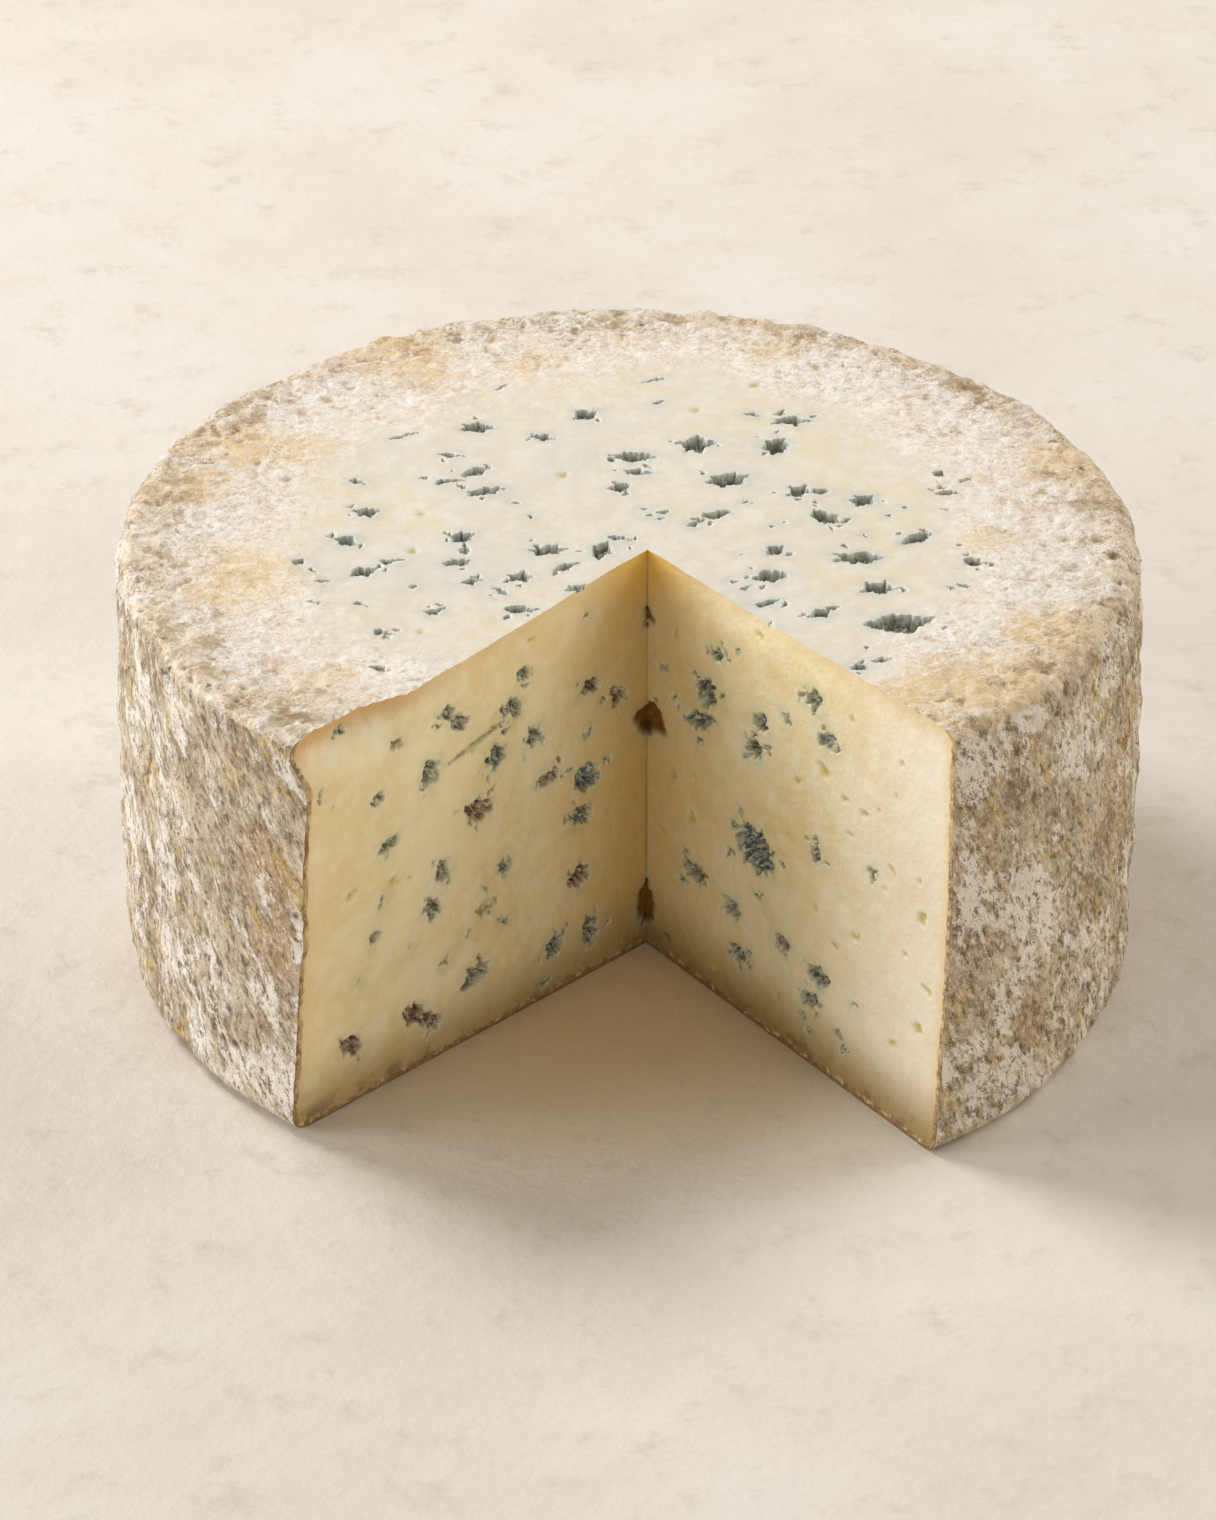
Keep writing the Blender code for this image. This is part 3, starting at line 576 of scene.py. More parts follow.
CUT_COATS = (
    ("broad", (0.36, 0.64), CUT_CREAM),
    ("olive", (0.50, 0.66, 0.0, 0.45), CUT_OLIVE),
    ("buff", (0.52, 0.66, 0.0, 0.35), CUT_BUFF),
    ("curds", (0.46, 0.62, 0.0, 0.4), CUT_CURD_AND_HIGHLIGHT),
    ("pale", (), CUT_PALE),
    ("warm", (), CUT_WARM_AND_SHADE),
    ("high", (4.0, 0.5, 0.0, 0.35), CUT_EDGE),
    ("apex", (), CUT_GLOW),
    ("outward", (4.5, 1.0, 0.0, 0.7), CUT_EDGE),
    # painted shade towards the foot
    ("shade", (), CUT_PAINTED_SHADE),
    ("smears_and_shade", (), CUT_SMEAR_AND_SHADE),
    ("rust", (), CUT_RUST),
    ("pit", (), CUT_PIT),
    # painted highlight round the openings
    ("painted_highlight", (), CUT_CURD_AND_HIGHLIGHT),
)
# fine relief, roughness and specular level of each finish, and light inside the paste
CRUST_BUMP = 0.0010
CUT_BUMP = 0.00035
FLOOR_BUMP = 0.0006
SOFT_SHARE = 0.3
CUT_FINE_SHARE = 0.5
PASTE_ROUGHNESS = 0.50
CRUST_ROUGHNESS = 0.88
CUT_ROUGHNESS = 0.46
FLOOR_ROUGHNESS = 0.9
CRUST_SPECULAR = 0.35
CUT_SPECULAR = 0.4
FLOOR_SPECULAR = 0.2
SCATTER = (1.0, 0.62, 0.32)
SCATTER_SCALE = 0.004
SCATTER_WEIGHT = 0.2

# the floor, the light and the camera
FLOOR_HALF = 4.0
FLOOR_PALE = colour(231, 226, 219)
FLOOR_WARM = colour(225, 218, 208)
FLOOR_SPOT = colour(206, 196, 181)
# painted shade on the floor round the wheel, warm as if from light the cheese throws back, then where it
# starts and is full, in metres from the wheel's middle
FLOOR_PAINTED_SHADE = colour(226, 203, 168)
PAINTED_SHADE_RANGE = (0.112, 0.035)
SKY_COLOUR = (1.0, 0.955, 0.885, 1.0)
SKY_STRENGTH = 0.20
# name, place, diameter, power and tone
LIGHTS = (
    ("key", (-1.0, 0.75, 1.45), 0.8, 21.5, (1.0, 0.985, 0.96)),
    ("left", (-1.8, -0.2, 0.45), 1.2, 22.5, (1.0, 0.985, 0.985)),
    ("back", (1.3, 0.8, 1.0), 1.2, 14.0, (1.0, 0.97, 0.93)),
    ("right", (1.8, -0.6, 0.45), 1.2, 7.0, (1.0, 0.83, 0.56)),
    ("front_left", (-0.75, -1.75, 0.42), 1.2, 4.0, (1.0, 0.985, 0.98)),
    ("front_right", (0.9, -1.6, 0.45), 1.2, 2.6, (1.0, 0.91, 0.78)),
)
PHOTO_HEIGHT = 1520
CAMERA_FOCAL_PX = 6830
CAMERA_DISTANCE = 1.35
CAMERA_ELEVATION = 30.55
CAMERA_AIM = (-0.00373, 0.0, 0.0388)
SENSOR_WIDTH = 36.0
CLIP_RANGE = (0.05, 50.0)


def smooth_share(value, start, end):
    """0 before start, 1 after end, and an even ease between."""
    share = np.clip((value - start) / (end - start), 0.0, 1.0)
    return share * share * (3.0 - 2.0 * share)


def from_axis(points):
    """Distance of each point from the wheel's axis, in plan."""
    return np.hypot(points[:, 0], points[:, 1])


def from_apex(points):
    """Distance of each point from the inner corner of the cut, in plan."""
    return np.hypot(points[:, 0] - APEX_X, points[:, 1] - APEX_Y)


def fractal(points, cell, octaves, shift=0.0):
    """Fractal noise at each point, about -1 to 1, for features one cell wide."""
    places = (points / cell + shift).tolist()
    return np.array([noise.fractal(place, CRAG_ROUGHNESS, 2.0, octaves) for place in places])


def pit_field(points, cell, size, shift):
    """Round pits of random size, one in each cell: 1 in the middle, 0 outside."""
    found = [noise.voronoi(place) for place in (points / cell + shift).tolist()]
    near = np.array([distances[0] for distances, _ in found])
    chance = np.array([noise.noise(places[0] * PIT_CHANCE_SCALE) for _, places in found])
    reach = size * (PIT_SIZE[0] + PIT_SIZE[1] * chance)
    return 1.0 - smooth_share(near, PIT_CORE * reach, np.maximum(reach, PIT_LEAST))


def outline_radius(heading, height):
    """Radius of the crust at a heading in radians from +X and a height, before its rounded edges."""
    radius = WHEEL_RADIUS
    for lobes, size, start in OUTLINE_WAVES:
        radius = radius + size * np.cos(lobes * (heading - math.radians(start)))
    rise = 2.0 * height / WHEEL_HEIGHT - 1.0
    radius = radius - SIDE_BULGE * rise * rise
    for middle, spread, top_size, foot_size in LEANS:
        away = (np.degrees(heading) - middle + 180.0) % 360.0 - 180.0
        size = top_size * np.maximum(rise, 0.0) + foot_size * np.maximum(-rise, 0.0)
        radius = radius + size * np.exp(-(away / spread) ** 2)
    return radius


def beside_cut(heading, spread):
    """How near a heading in radians is to a cut: 1 at its edge, and less with the spread in degrees."""
    degrees = (np.degrees(heading) + 180.0) % 360.0 - 180.0
    return sum(np.exp(-((degrees - middle) / spread) ** 2) for middle in CUT_HEADINGS)


def round_edges(heading, inset, height, slope):
    """Inset and height of each place, with the edges rounder at some headings than at others."""
    low = 1.0 + LOW_ROUND_SWING * np.cos(heading - math.radians(LOW_ROUND_HEADING))
    top = 1.0 + TOP_ROUND_SWING * np.cos(heading - math.radians(TOP_ROUND_HEADING))
    top = top * (1.0 - (1.0 - CUT_ROUND_SHARE) * beside_cut(heading, CUT_ROUND_SPREAD))
    raised = WHEEL_HEIGHT - (WHEEL_HEIGHT - height) * top
    wall = WHEEL_HEIGHT - TOP_ROUND_DOWN - LOW_ROUND_UP
    stretched = LOW_ROUND_UP + (height - LOW_ROUND_UP) * (1.0 + TOP_ROUND_DOWN * (1.0 - top) / wall)
    level = np.where(slope > 0.0, raised, np.where(slope < 0.0, height, stretched))
    return inset * np.where(slope < 0.0, low, top), level


def crust_share(x, y):
    """How far the top has turned from bare paste into crust, 0 in the middle and 1 at the edge."""
    places = np.stack([x, y, np.full_like(x, WHEEL_HEIGHT)], axis=-1)
    wander = fractal(places, *CRUST_WANDER) * CRUST_WANDER_REACH
    return smooth_share(np.hypot(x, y) + wander, *CRUST_RANGE)


def slanted(points):
    """Places turned a little more at each height and drawn out upright, for the crust's slanting grain."""
    turn = GRAIN_TWIST * points[:, 2]
    across = points[:, 0] * np.cos(turn) - points[:, 1] * np.sin(turn)
    inward = points[:, 0] * np.sin(turn) + points[:, 1] * np.cos(turn)
    return np.column_stack([across, inward, GRAIN_STRETCH * points[:, 2]])


def side_relief(points):
    """Relief of the side: slow crags, slanting wrinkles, pits, flakes and a crumbled upper edge."""
    slow = SIDE_CRAG_SIZE * fractal(points, SIDE_CRAG_CELL, CRAG_OCTAVES)
    places = slanted(points)
    wrinkles = 1.0 - WRINKLE_SHARPNESS * np.abs(fractal(places, *WRINKLES))
    grain = fractal(places, *SIDE_GRAINS)
    pits = pit_field(places, *SIDE_PITS)
    flakes = smooth_share(fractal(places, *SIDE_FLAKES), *SIDE_FLAKE_EDGE)
    fine = WRINKLE_HEIGHT * wrinkles + SIDE_GRAIN_HEIGHT * grain - SIDE_PIT_DEPTH * pits
    fine += SIDE_FLAKE_HEIGHT * flakes
    crumbled = smooth_share(points[:, 2], *CRUMBLE_RANGE) * fractal(points, *CRUMBLES)
    fine += CRUMBLE_HEIGHT * crumbled
    beside = beside_cut(np.arctan2(points[:, 1], points[:, 0]), CALM_SPREAD)
    slow *= 1.0 - (1.0 - CALM_SLOW) * beside
    fine *= 1.0 - (1.0 - CALM_FINE) * beside
    return slow + fine, fine


def top_relief(points):
    """Relief of the top: gentle in the middle, grainy and pitted where it is crust."""
    slow = TOP_CRAG_SIZE * fractal(points, TOP_CRAG_CELL, CRAG_OCTAVES)
    crust = crust_share(points[:, 0], points[:, 1])
    edge = smooth_share(from_axis(points), *EDGE_RANGE)
    flakes = smooth_share(fractal(points, *TOP_FLAKES), *TOP_FLAKE_EDGE)
    rough = TOP_GRAIN_HEIGHT * fractal(points, *TOP_GRAINS)
    rough -= LID_PIT_DEPTH * pit_field(points, *LID_PITS) * (LID_PIT_INSIDE + edge)
    rough += TOP_LUMP_HEIGHT * fractal(points, *TOP_LUMPS) * (TOP_LUMP_INSIDE + edge)
    rough += TOP_FLAKE_HEIGHT * flakes * (TOP_LUMP_INSIDE + edge)
    middle = TOP_PASTE_HEIGHT * fractal(points, *TOP_PASTE)
    fine = rough * crust + middle * (1.0 - crust)
    return slow + fine, fine


def crust_points(heading, inset, height, slope):
    """Points of the crust, moved out by their relief, and the fine part of that relief."""
    inset, height = round_edges(heading, inset, height, slope)
    radius = outline_radius(heading, height) - inset
    flat = np.stack([radius * np.cos(heading), radius * np.sin(heading), height], axis=-1).reshape(-1, 3)
    slope = slope.reshape(-1)
    heading = heading.reshape(-1)
    upright = np.maximum(np.sin(slope), 0.0)
    lift = np.zeros((len(flat), 2))
    sideways = np.cos(slope) > SMALL
    lift[sideways] += np.column_stack(side_relief(flat[sideways])) * np.cos(slope[sideways])[:, None]
    rising = upright > SMALL
    lift[rising] += np.column_stack(top_relief(flat[rising])) * upright[rising][:, None]
    lift *= smooth_share(flat[:, 2], 0.0, FOOT_EASE)[:, None]
    outward = np.column_stack([np.cos(heading) * np.cos(slope), np.sin(heading) * np.cos(slope), upright])
    return flat + outward * lift[:, :1], lift[:, 1]


def meridian():
    """Half section of the crust from the foot to the top: inset, height and slope of each level."""
    rows = []
    for step in range(LOW_STEPS + 1):
        slope = math.radians(90.0 * step / LOW_STEPS - 90.0)
        rows.append((LOW_ROUND_IN * (1.0 - math.cos(slope)), LOW_ROUND_UP * (1.0 + math.sin(slope)), slope))
    wall = WHEEL_HEIGHT - TOP_ROUND_DOWN - LOW_ROUND_UP
    wall_steps = int(wall / SIDE_STEP)
    for step in range(1, wall_steps):
        rows.append((0.0, LOW_ROUND_UP + wall * step / wall_steps, 0.0))
    for step in range(TOP_STEPS + 1):
        slope = math.radians(90.0 * step / TOP_STEPS)
        inset = TOP_ROUND_IN * (1.0 - math.cos(slope))
        rows.append((inset, WHEEL_HEIGHT - TOP_ROUND_DOWN * (1.0 - math.sin(slope)), slope))
    return np.array(rows)


def face_heading(side, along, height):
    """Heading of a cut face from -Y, in radians: the knife leaned, so it changes with the height."""
    rise = height / WHEEL_HEIGHT
    if side < 0:
        heading = LEFT_LOW_HEADING + (LEFT_TOP_HEADING - LEFT_LOW_HEADING) * rise
        heading = heading + LIP_HEADING * smooth_share(along, *LIP_LENGTH) * smooth_share(height, *LIP_HEIGHT)
    else:
        heading = RIGHT_LOW_HEADING + (RIGHT_TOP_HEADING - RIGHT_LOW_HEADING) * rise
    return np.radians(heading)


def face_points(side, along, height):
    """Points of the left (side -1) or right (side 1) cut face."""
    heading = face_heading(side, along, height)
    return np.stack([APEX_X + np.sin(heading) * along, APEX_Y - np.cos(heading) * along, height], axis=-1)


def cut_headings(side, rows):
    """Heading from +X at which each level of the crust meets a cut face."""
    inset, height, slope = rows.T
    heading = np.full(len(rows), face_heading(side, 0.0, 0.5 * WHEEL_HEIGHT) - 0.5 * math.pi)
    for _ in range(EDGE_ROUNDS):
        points = crust_points(heading, inset, height, slope)[0]
        reach = from_axis(points)
        turn = face_heading(side, from_apex(points), points[:, 2])
        lean = APEX_X * np.sin(turn) - APEX_Y * np.cos(turn)
        along = np.sqrt(lean ** 2 - APEX_X ** 2 - APEX_Y ** 2 + reach ** 2) - lean
        meeting = face_points(side, along, points[:, 2])
        heading = np.arctan2(meeting[:, 1], meeting[:, 0])
    return heading % FULL_TURN


class Openings:
    """The openings of one face: outlines, depths and stains, in the face's own two coordinates."""

    def __init__(self, main, specks, pits, tints, key, ragged, rough, hollow):
        self.rows = []
        self.ragged = ragged
        self.rough = rough
        self.hollow = hollow
        draw = random.Random(key)
        for index, (first, second, length, width, turn, tips) in enumerate(main):
            tint = tints.get(index, draw.uniform(*MAIN_TINT))
            self.add(first, second, length, width, turn, tips, index, 1.0, tint)
            for _ in range(draw.randint(*SATELLITES)):
                bearing = draw.uniform(0.0, FULL_TURN)
                away = draw.uniform(*SATELLITE_DISTANCE)
                size = draw.uniform(*SATELLITE_SIZE)
                across = first + away * length * math.cos(bearing)
                spread = SATELLITE_SPREAD[0] * length + SATELLITE_SPREAD[1] * width
                up = second + away * spread * math.sin(bearing)
                long, wide = (size * share for share in SATELLITE_STRETCH)
                self.add(across, up, long, wide, draw.uniform(0, 180), 3 + index % 3,
                         draw.randint(*SATELLITE_KEYS), SATELLITE_STAIN, tint)
        for index, (first, second, length, width, turn, tips) in enumerate(specks):
            tint = tints.get(FIRST_SPECK + index, draw.uniform(*SPECK_TINT))
            self.add(first, second, length, width, turn, tips, FIRST_SPECK + index, SPECK_STAIN, tint)
        self.pits = [tuple(value * MM for value in pit) for pit in pits]

    def add(self, first, second, length, width, turn, tips, key, stain, tint):
        """Note one opening, with the corners of its outline."""
        draw = random.Random(key)
        corners = []
        for index in range(tips):
            wander = draw.uniform(-TIP_SPREAD, TIP_SPREAD) if index else 0.0
            reach = draw.uniform(*TIP_REACH) if index else FIRST_TIP_REACH
            corners.append((FULL_TURN * (index + wander) / tips, reach))
        corners.append((corners[0][0] + FULL_TURN, corners[0][1]))
        depth = min(max(DEPTH_SHARE * width * MM, DEPTH_RANGE[0]), DEPTH_RANGE[1])
        depth = min(depth, DEPTH_LIMIT * width * MM)
        self.rows.append({
            "centre": (first * MM, second * MM), "half": (0.5 * length * MM, 0.5 * width * MM),
            "turn": math.radians(turn), "angles": np.array([corner[0] for corner in corners]),
            "reaches": np.array([corner[1] for corner in corners]), "tips": tips, "depth": depth,
            "stain": stain * draw.uniform(*STAIN_RANGE), "tint": tint, "phase": draw.uniform(*PHASE_RANGE)})

    def reach(self, row, angle):
        """Reach of the outline at each angle, as a share of the half length and half width."""
        angle = angle % FULL_TURN
        index = np.clip(np.searchsorted(row["angles"], angle, side="right") - 1, 0, row["tips"] - 1)
        start, end = row["angles"][index], row["angles"][index + 1]
        share = np.clip((angle - start) / (end - start), 0.0, 1.0)
        hollow = 1.0 - self.hollow * HOLLOW[row["tips"]] * np.sin(math.pi * share) ** HOLLOW_POWER
        ragged = 1.0
        for size, count, way in RIPPLES:
            ragged = ragged + size * np.sin(count * angle + way * row["phase"])
        return (row["reaches"][index] * (1.0 - share) + row["reaches"][index + 1] * share) * hollow * ragged

    def warp(self, places):
        """Places shifted a little this way and that, which makes the outlines ragged."""
        points = np.column_stack([places, np.full(len(places), WARP_LEVEL)])
        shift = np.column_stack([fractal(points, *WARP_ACROSS), fractal(points, *WARP_UP)])
        return places + self.ragged * shift

    def outline(self, row, inset):
        """Evenly enough spaced points of an outline, moved in by the inset."""
        count = max(int(math.pi * sum(row["half"]) * OUTLINE_DENSITY / FINE_STEP), OUTLINE_LEAST)
        angle = np.arange(count) * FULL_TURN / count
        reach = self.reach(row, angle)
        across = row["half"][0] * np.cos(angle)
        up = row["half"][1] * np.sin(angle)
        stretch = np.hypot(across, up)
        reach = reach - inset / stretch
        keep = reach > OUTLINE_CLOSEST
        across, up = (across * reach)[keep], (up * reach)[keep]
        lean = row["turn"]
        wanted = np.stack([row["centre"][0] + across * math.cos(lean) - up * math.sin(lean),
                           row["centre"][1] + across * math.sin(lean) + up * math.cos(lean)], axis=-1)
        places = wanted.copy()
        if row["tips"] == SLIT_TIPS:
            return places
        for _ in range(WARP_ROUNDS):
            places += wanted - self.warp(places)
        return places

    def measure(self, places):
        """Distance to the nearest opening (inside is negative), depth, stain and tint at each place."""
        near = np.zeros(len(places), dtype=bool)
        for row in self.rows:
            offset = places - np.array(row["centre"])
            limit = row["half"][0] * REACH_MARGIN + WARP_REACH
            near |= offset[:, 0] ** 2 + offset[:, 1] ** 2 < limit ** 2
        near = np.nonzero(near)[0]
        distance = np.full(len(places), NO_OPENING)
        depth = np.zeros(len(places))
        stain = np.zeros(len(places))
        tint = np.zeros(len(places))
        warped = self.warp(places[near])
        for row in self.rows:
            offset = (places[near] if row["tips"] == SLIT_TIPS else warped) - np.array(row["centre"])
            close = from_axis(offset) < row["half"][0] * REACH_MARGIN + WARP_REACH
            here = near[close]
            if not len(here):
                continue
            offset = offset[close]
            lean = row["turn"]
            across = offset[:, 0] * math.cos(lean) + offset[:, 1] * math.sin(lean)
            up = offset[:, 1] * math.cos(lean) - offset[:, 0] * math.sin(lean)
            far = np.hypot(across, up) + TINY
            share = np.hypot(across / row["half"][0], up / row["half"][1]) + TINY
            angle = np.arctan2(up / row["half"][1], across / row["half"][0])
            gap = (share - self.reach(row, angle)) * far / share
            inner = np.clip(-gap / (WALL_SHARE * row["half"][1]), 0.0, 1.0)
            depth[here] = np.maximum(depth[here], row["depth"] * (1.0 - (1.0 - inner) ** WALL_POWER))
            tint[here] = np.where(gap < distance[here], row["tint"], tint[here])
            distance[here] = np.minimum(distance[here], gap)
            spread = np.exp(-np.maximum(gap, 0.0) / HALO_REACH) - math.exp(-WARP_REACH / HALO_REACH)
            stain[here] = np.maximum(stain[here], np.maximum(spread, 0.0) * row["stain"])
        deep = np.nonzero(depth > 0.0)[0]
        points = np.column_stack([places[deep], np.full(len(deep), ROUGH_LEVEL)])
        depth[deep] *= 1.0 + self.rough * fractal(points, *WALL_ROUGHNESS)
        return distance, depth, stain, tint

    def dents(self, places):
        """Depth share of the clean pits at each place, 0 to 1."""
        share = np.zeros(len(places))
        for first, second, size in self.pits:
            near = np.nonzero(from_axis(places - np.array([first, second])) < size + MM)[0]
            if not len(near):
                continue
            offset = self.warp(places[near]) - np.array([first, second])
            gap = np.hypot(offset[:, 0] * PIT_FLATNESS, offset[:, 1])
            start, end = (limit * size for limit in DENT_RANGE)
            share[near] = np.maximum(share[near], 1.0 - smooth_share(gap, start, end))
        return share

    def guide_points(self):
        """Points along every outline and just inside it, so that the walls come out crisp."""
        found = []
        for row in self.rows:
            found.append(self.outline(row, 0.0))
            found.append(self.outline(row, WALL_INSET))
        return np.concatenate(found)


def even_points(low, high, step):
    """Evenly spread points over a rectangle, in staggered rows."""
    columns = np.arange(low[0], high[0], step)
    levels = np.arange(low[1], high[1], step * math.sqrt(0.75))
    across, up = np.meshgrid(columns, levels)
    across = across + 0.5 * step * (np.arange(len(levels)) % 2)[:, None]
    places = np.stack([across.ravel(), up.ravel()], axis=-1)
    reach = POINT_WOBBLE * step
    return places + np.random.default_rng(WOBBLE_SEED).uniform(-reach, reach, places.shape)


def spread_points(openings, low, high, step, inside):
    """Points for a sheet: coarse in the open, fine round the openings, and along their outlines."""
    coarse = even_points(low, high, step)
    coarse = coarse[inside(coarse, BORDER_CLEARANCE * step)]
    coarse = coarse[openings.measure(coarse)[0] > FINE_REACH]
    fine = even_points(low, high, FINE_STEP)
    fine = fine[inside(fine, BORDER_CLEARANCE * FINE_STEP)]
    gap = openings.measure(fine)[0]
    fine = fine[(gap < FINE_REACH) & (np.abs(gap) > OUTLINE_CLEARANCE * FINE_STEP)]
    guides = openings.guide_points()
    guides = guides[inside(guides, GUIDE_CLEARANCE * FINE_STEP)]
    return np.concatenate([coarse, fine, guides])


def fill_sheet(loop, inner):
    """Triangles over the area inside a loop: places, their sources in the loop, and corner indices."""
    points = np.concatenate([loop, inner])
    corners = [Vector(place) for place in points.tolist()]
    found = delaunay_2d_cdt(corners, [], [list(range(len(loop)))], 1, MERGE_DISTANCE)
    places = np.array([tuple(place) for place in found[0]])
    sources = np.array([source[0] if source else len(points) for source in found[3]])
    triangles = np.array([tuple(face) for face in found[2] if len(face) == 3])
    return places, sources, triangles


def shared_numbers(sources, numbers):
    """Number of each point that came from the border, and -1 for the new ones."""
    return np.where(sources < len(numbers), numbers[np.minimum(sources, len(numbers) - 1)], -1)


def plan_map(places):
    """Flat map of places in plan."""
    return 0.5 + places / (MAP_SPREAD * WHEEL_RADIUS)


def top_level(places, openings):
    """Height of the top at each place, with its relief, openings and pits."""
    points = np.column_stack([places, np.full(len(places), WHEEL_HEIGHT)])
    depth = openings.measure(places)[1]
    pits = TOP_PIT_DEPTH * openings.dents(places)
    return WHEEL_HEIGHT + top_relief(points)[0] - np.maximum(depth, pits)


def top_edge(side, reach, openings):
    """Upper edge of a cut face from the inner corner to the rim, with the notches of the openings."""
    along = np.linspace(0.0, reach, int(reach / FINE_STEP) + 1)[:-1]
    height = np.full(len(along), WHEEL_HEIGHT)
    for _ in range(EDGE_ROUNDS):
        points = face_points(side, along, height)
        height = 0.5 * (height + top_level(points[:, :2], openings))
    return face_points(side, along, height)


def corner_push(points, corner_openings):
    """Move points near the inner corner of the cut back into the openings there."""
    places = np.column_stack([points[:, 0] - APEX_X, points[:, 2]])
    depth = corner_openings.measure(places)[1]
    near = smooth_share(np.abs(places[:, 0]), *CORNER_RANGE)
    moved = points.copy()
    moved[:, 1] += depth * near
    return moved


def painted_highlight_ring(distance):
    """A thin pale line round each opening: a painted highlight on its rim."""
    return np.exp(-((distance - HIGHLIGHT_RING_MIDDLE) / HIGHLIGHT_RING_SPREAD) ** 2)


def patch_share(points, patches):
    """How far each place is in one of the named patches, 0 to 1."""
    share = np.zeros(len(points))
    for x, y, z, reach, strength in patches:
        gap = np.linalg.norm(points - np.array([x, y, z]) * MM, axis=1)
        share = np.maximum(share, strength * (1.0 - smooth_share(gap, PATCH_CORE * reach * MM, reach * MM)))
    return share


def face_normals(corners):
    """Normal of each face, twice as long as its area is large, from the places of its corners."""
    return np.cross(corners[:, 2] - corners[:, 0], corners[:, -1] - corners[:, 1])


class Surface:
    """Every corner of the wheel's surface, numbered so that sheets which meet share their corners."""

    def __init__(self):
        self.points = np.zeros((0, 3))

    def add(self, points):
        """Add corners and give their numbers."""
        first = len(self.points)
        self.points = np.concatenate([self.points, points])
        return np.arange(first, first + len(points))


class Sheet:
    """One part of the surface: the numbers of its corners, its faces, fields and flat map."""

    def __init__(self, surface, points, shared, faces, fields, flat_map):
        self.numbers = shared.copy()
        new = shared < 0
        self.numbers[new] = surface.add(points[new])
        self.faces = self.facing(surface, faces)
        self.fields = fields
        self.flat_map = flat_map

    def facing(self, surface, faces):
        """The faces as given, without those that have shrunk to nothing."""
        area = np.linalg.norm(face_normals(surface.points[self.numbers[faces]]), axis=1)
        return faces[area > LEAST_AREA]


def face_relief(points, along, height):
    """Relief of a cut face: slow waves of the knife, its scores, and the grain of the curd."""
    slow = KNIFE_WAVE_HEIGHT * fractal(points, *KNIFE_WAVES)
    wander = SCORE_WANDERING * fractal(points, *SCORE_WANDER)
    score = SCORE_HEIGHT * np.sin((height + SCORE_LEAN * along) / SCORE_SPACING + wander)
    grain = CURD_GRAIN_HEIGHT * fractal(points, *CURD_GRAIN)
    return slow + score + grain - CURD_PIT_DEPTH * pit_field(points, *CURD_PITS)


def face_sheet(surface, side, border, openings, corner_openings, top_line, outer_line):
    """A cut face, from its border's corners and their places along it and up it."""
    numbers, loop = border

    def inside(places, margin):
        """Whether places are inside the border by more than the margin."""
        clear = (places[:, 0] > margin) & (places[:, 1] > margin)
        clear &= places[:, 0] < np.interp(places[:, 1], outer_line[:, 1], outer_line[:, 0]) - margin
        return clear & (places[:, 1] < np.interp(places[:, 0], top_line[:, 0], top_line[:, 1]) - margin)

    inner = spread_points(openings, (0.0, 0.0), (WHEEL_RADIUS, WHEEL_HEIGHT + MM), FACE_STEP, inside)
    places, sources, triangles = fill_sheet(loop, inner)
    flat = face_points(side, places[:, 0], places[:, 1])
    along, height = places.T
    forward = face_points(side, along + NORMAL_STEP, height) - face_points(side, along - NORMAL_STEP, height)
    rise = face_points(side, along, height + NORMAL_STEP) - face_points(side, along, height - NORMAL_STEP)
    outward = np.cross(forward, rise) * side
    outward /= np.linalg.norm(outward, axis=1)[:, None]
    from_crust = np.interp(height, outer_line[:, 1], outer_line[:, 0]) - along
    from_top = np.interp(along, top_line[:, 0], top_line[:, 1]) - height
    nearest = np.minimum.reduce([from_crust, from_top, height, along])
    free = smooth_share(nearest, 0.0, BORDER_EASE)
    distance, depth, stain, tint = openings.measure(places)
    pit = openings.dents(places)
    lift = face_relief(flat, along, height) - np.maximum(depth, FACE_PIT_DEPTH * pit)
    points = corner_push(flat + outward * (lift * free)[:, None], corner_openings)
    corner_places = np.column_stack([flat[:, 0] - APEX_X, flat[:, 2]])
    corner_distance, _, corner_stain, corner_tint = corner_openings.measure(corner_places)
    tint = np.where(corner_distance < distance, corner_tint, tint)
    fields = {
        "mould": smooth_share(-np.minimum(distance, corner_distance), *MOULD_EDGE),
        "halo": np.maximum(stain, corner_stain), "tint": tint, "pit": pit, "painted_highlight": painted_highlight_ring(distance),
        "from_crust": from_crust / MM, "from_foot": height / MM,
        "from_top": from_top / MM, "along": along / MM}
    faces = triangles if side > 0 else triangles[:, ::-1]
    return Sheet(surface, points, shared_numbers(sources, numbers), faces, fields, places / WHEEL_RADIUS)


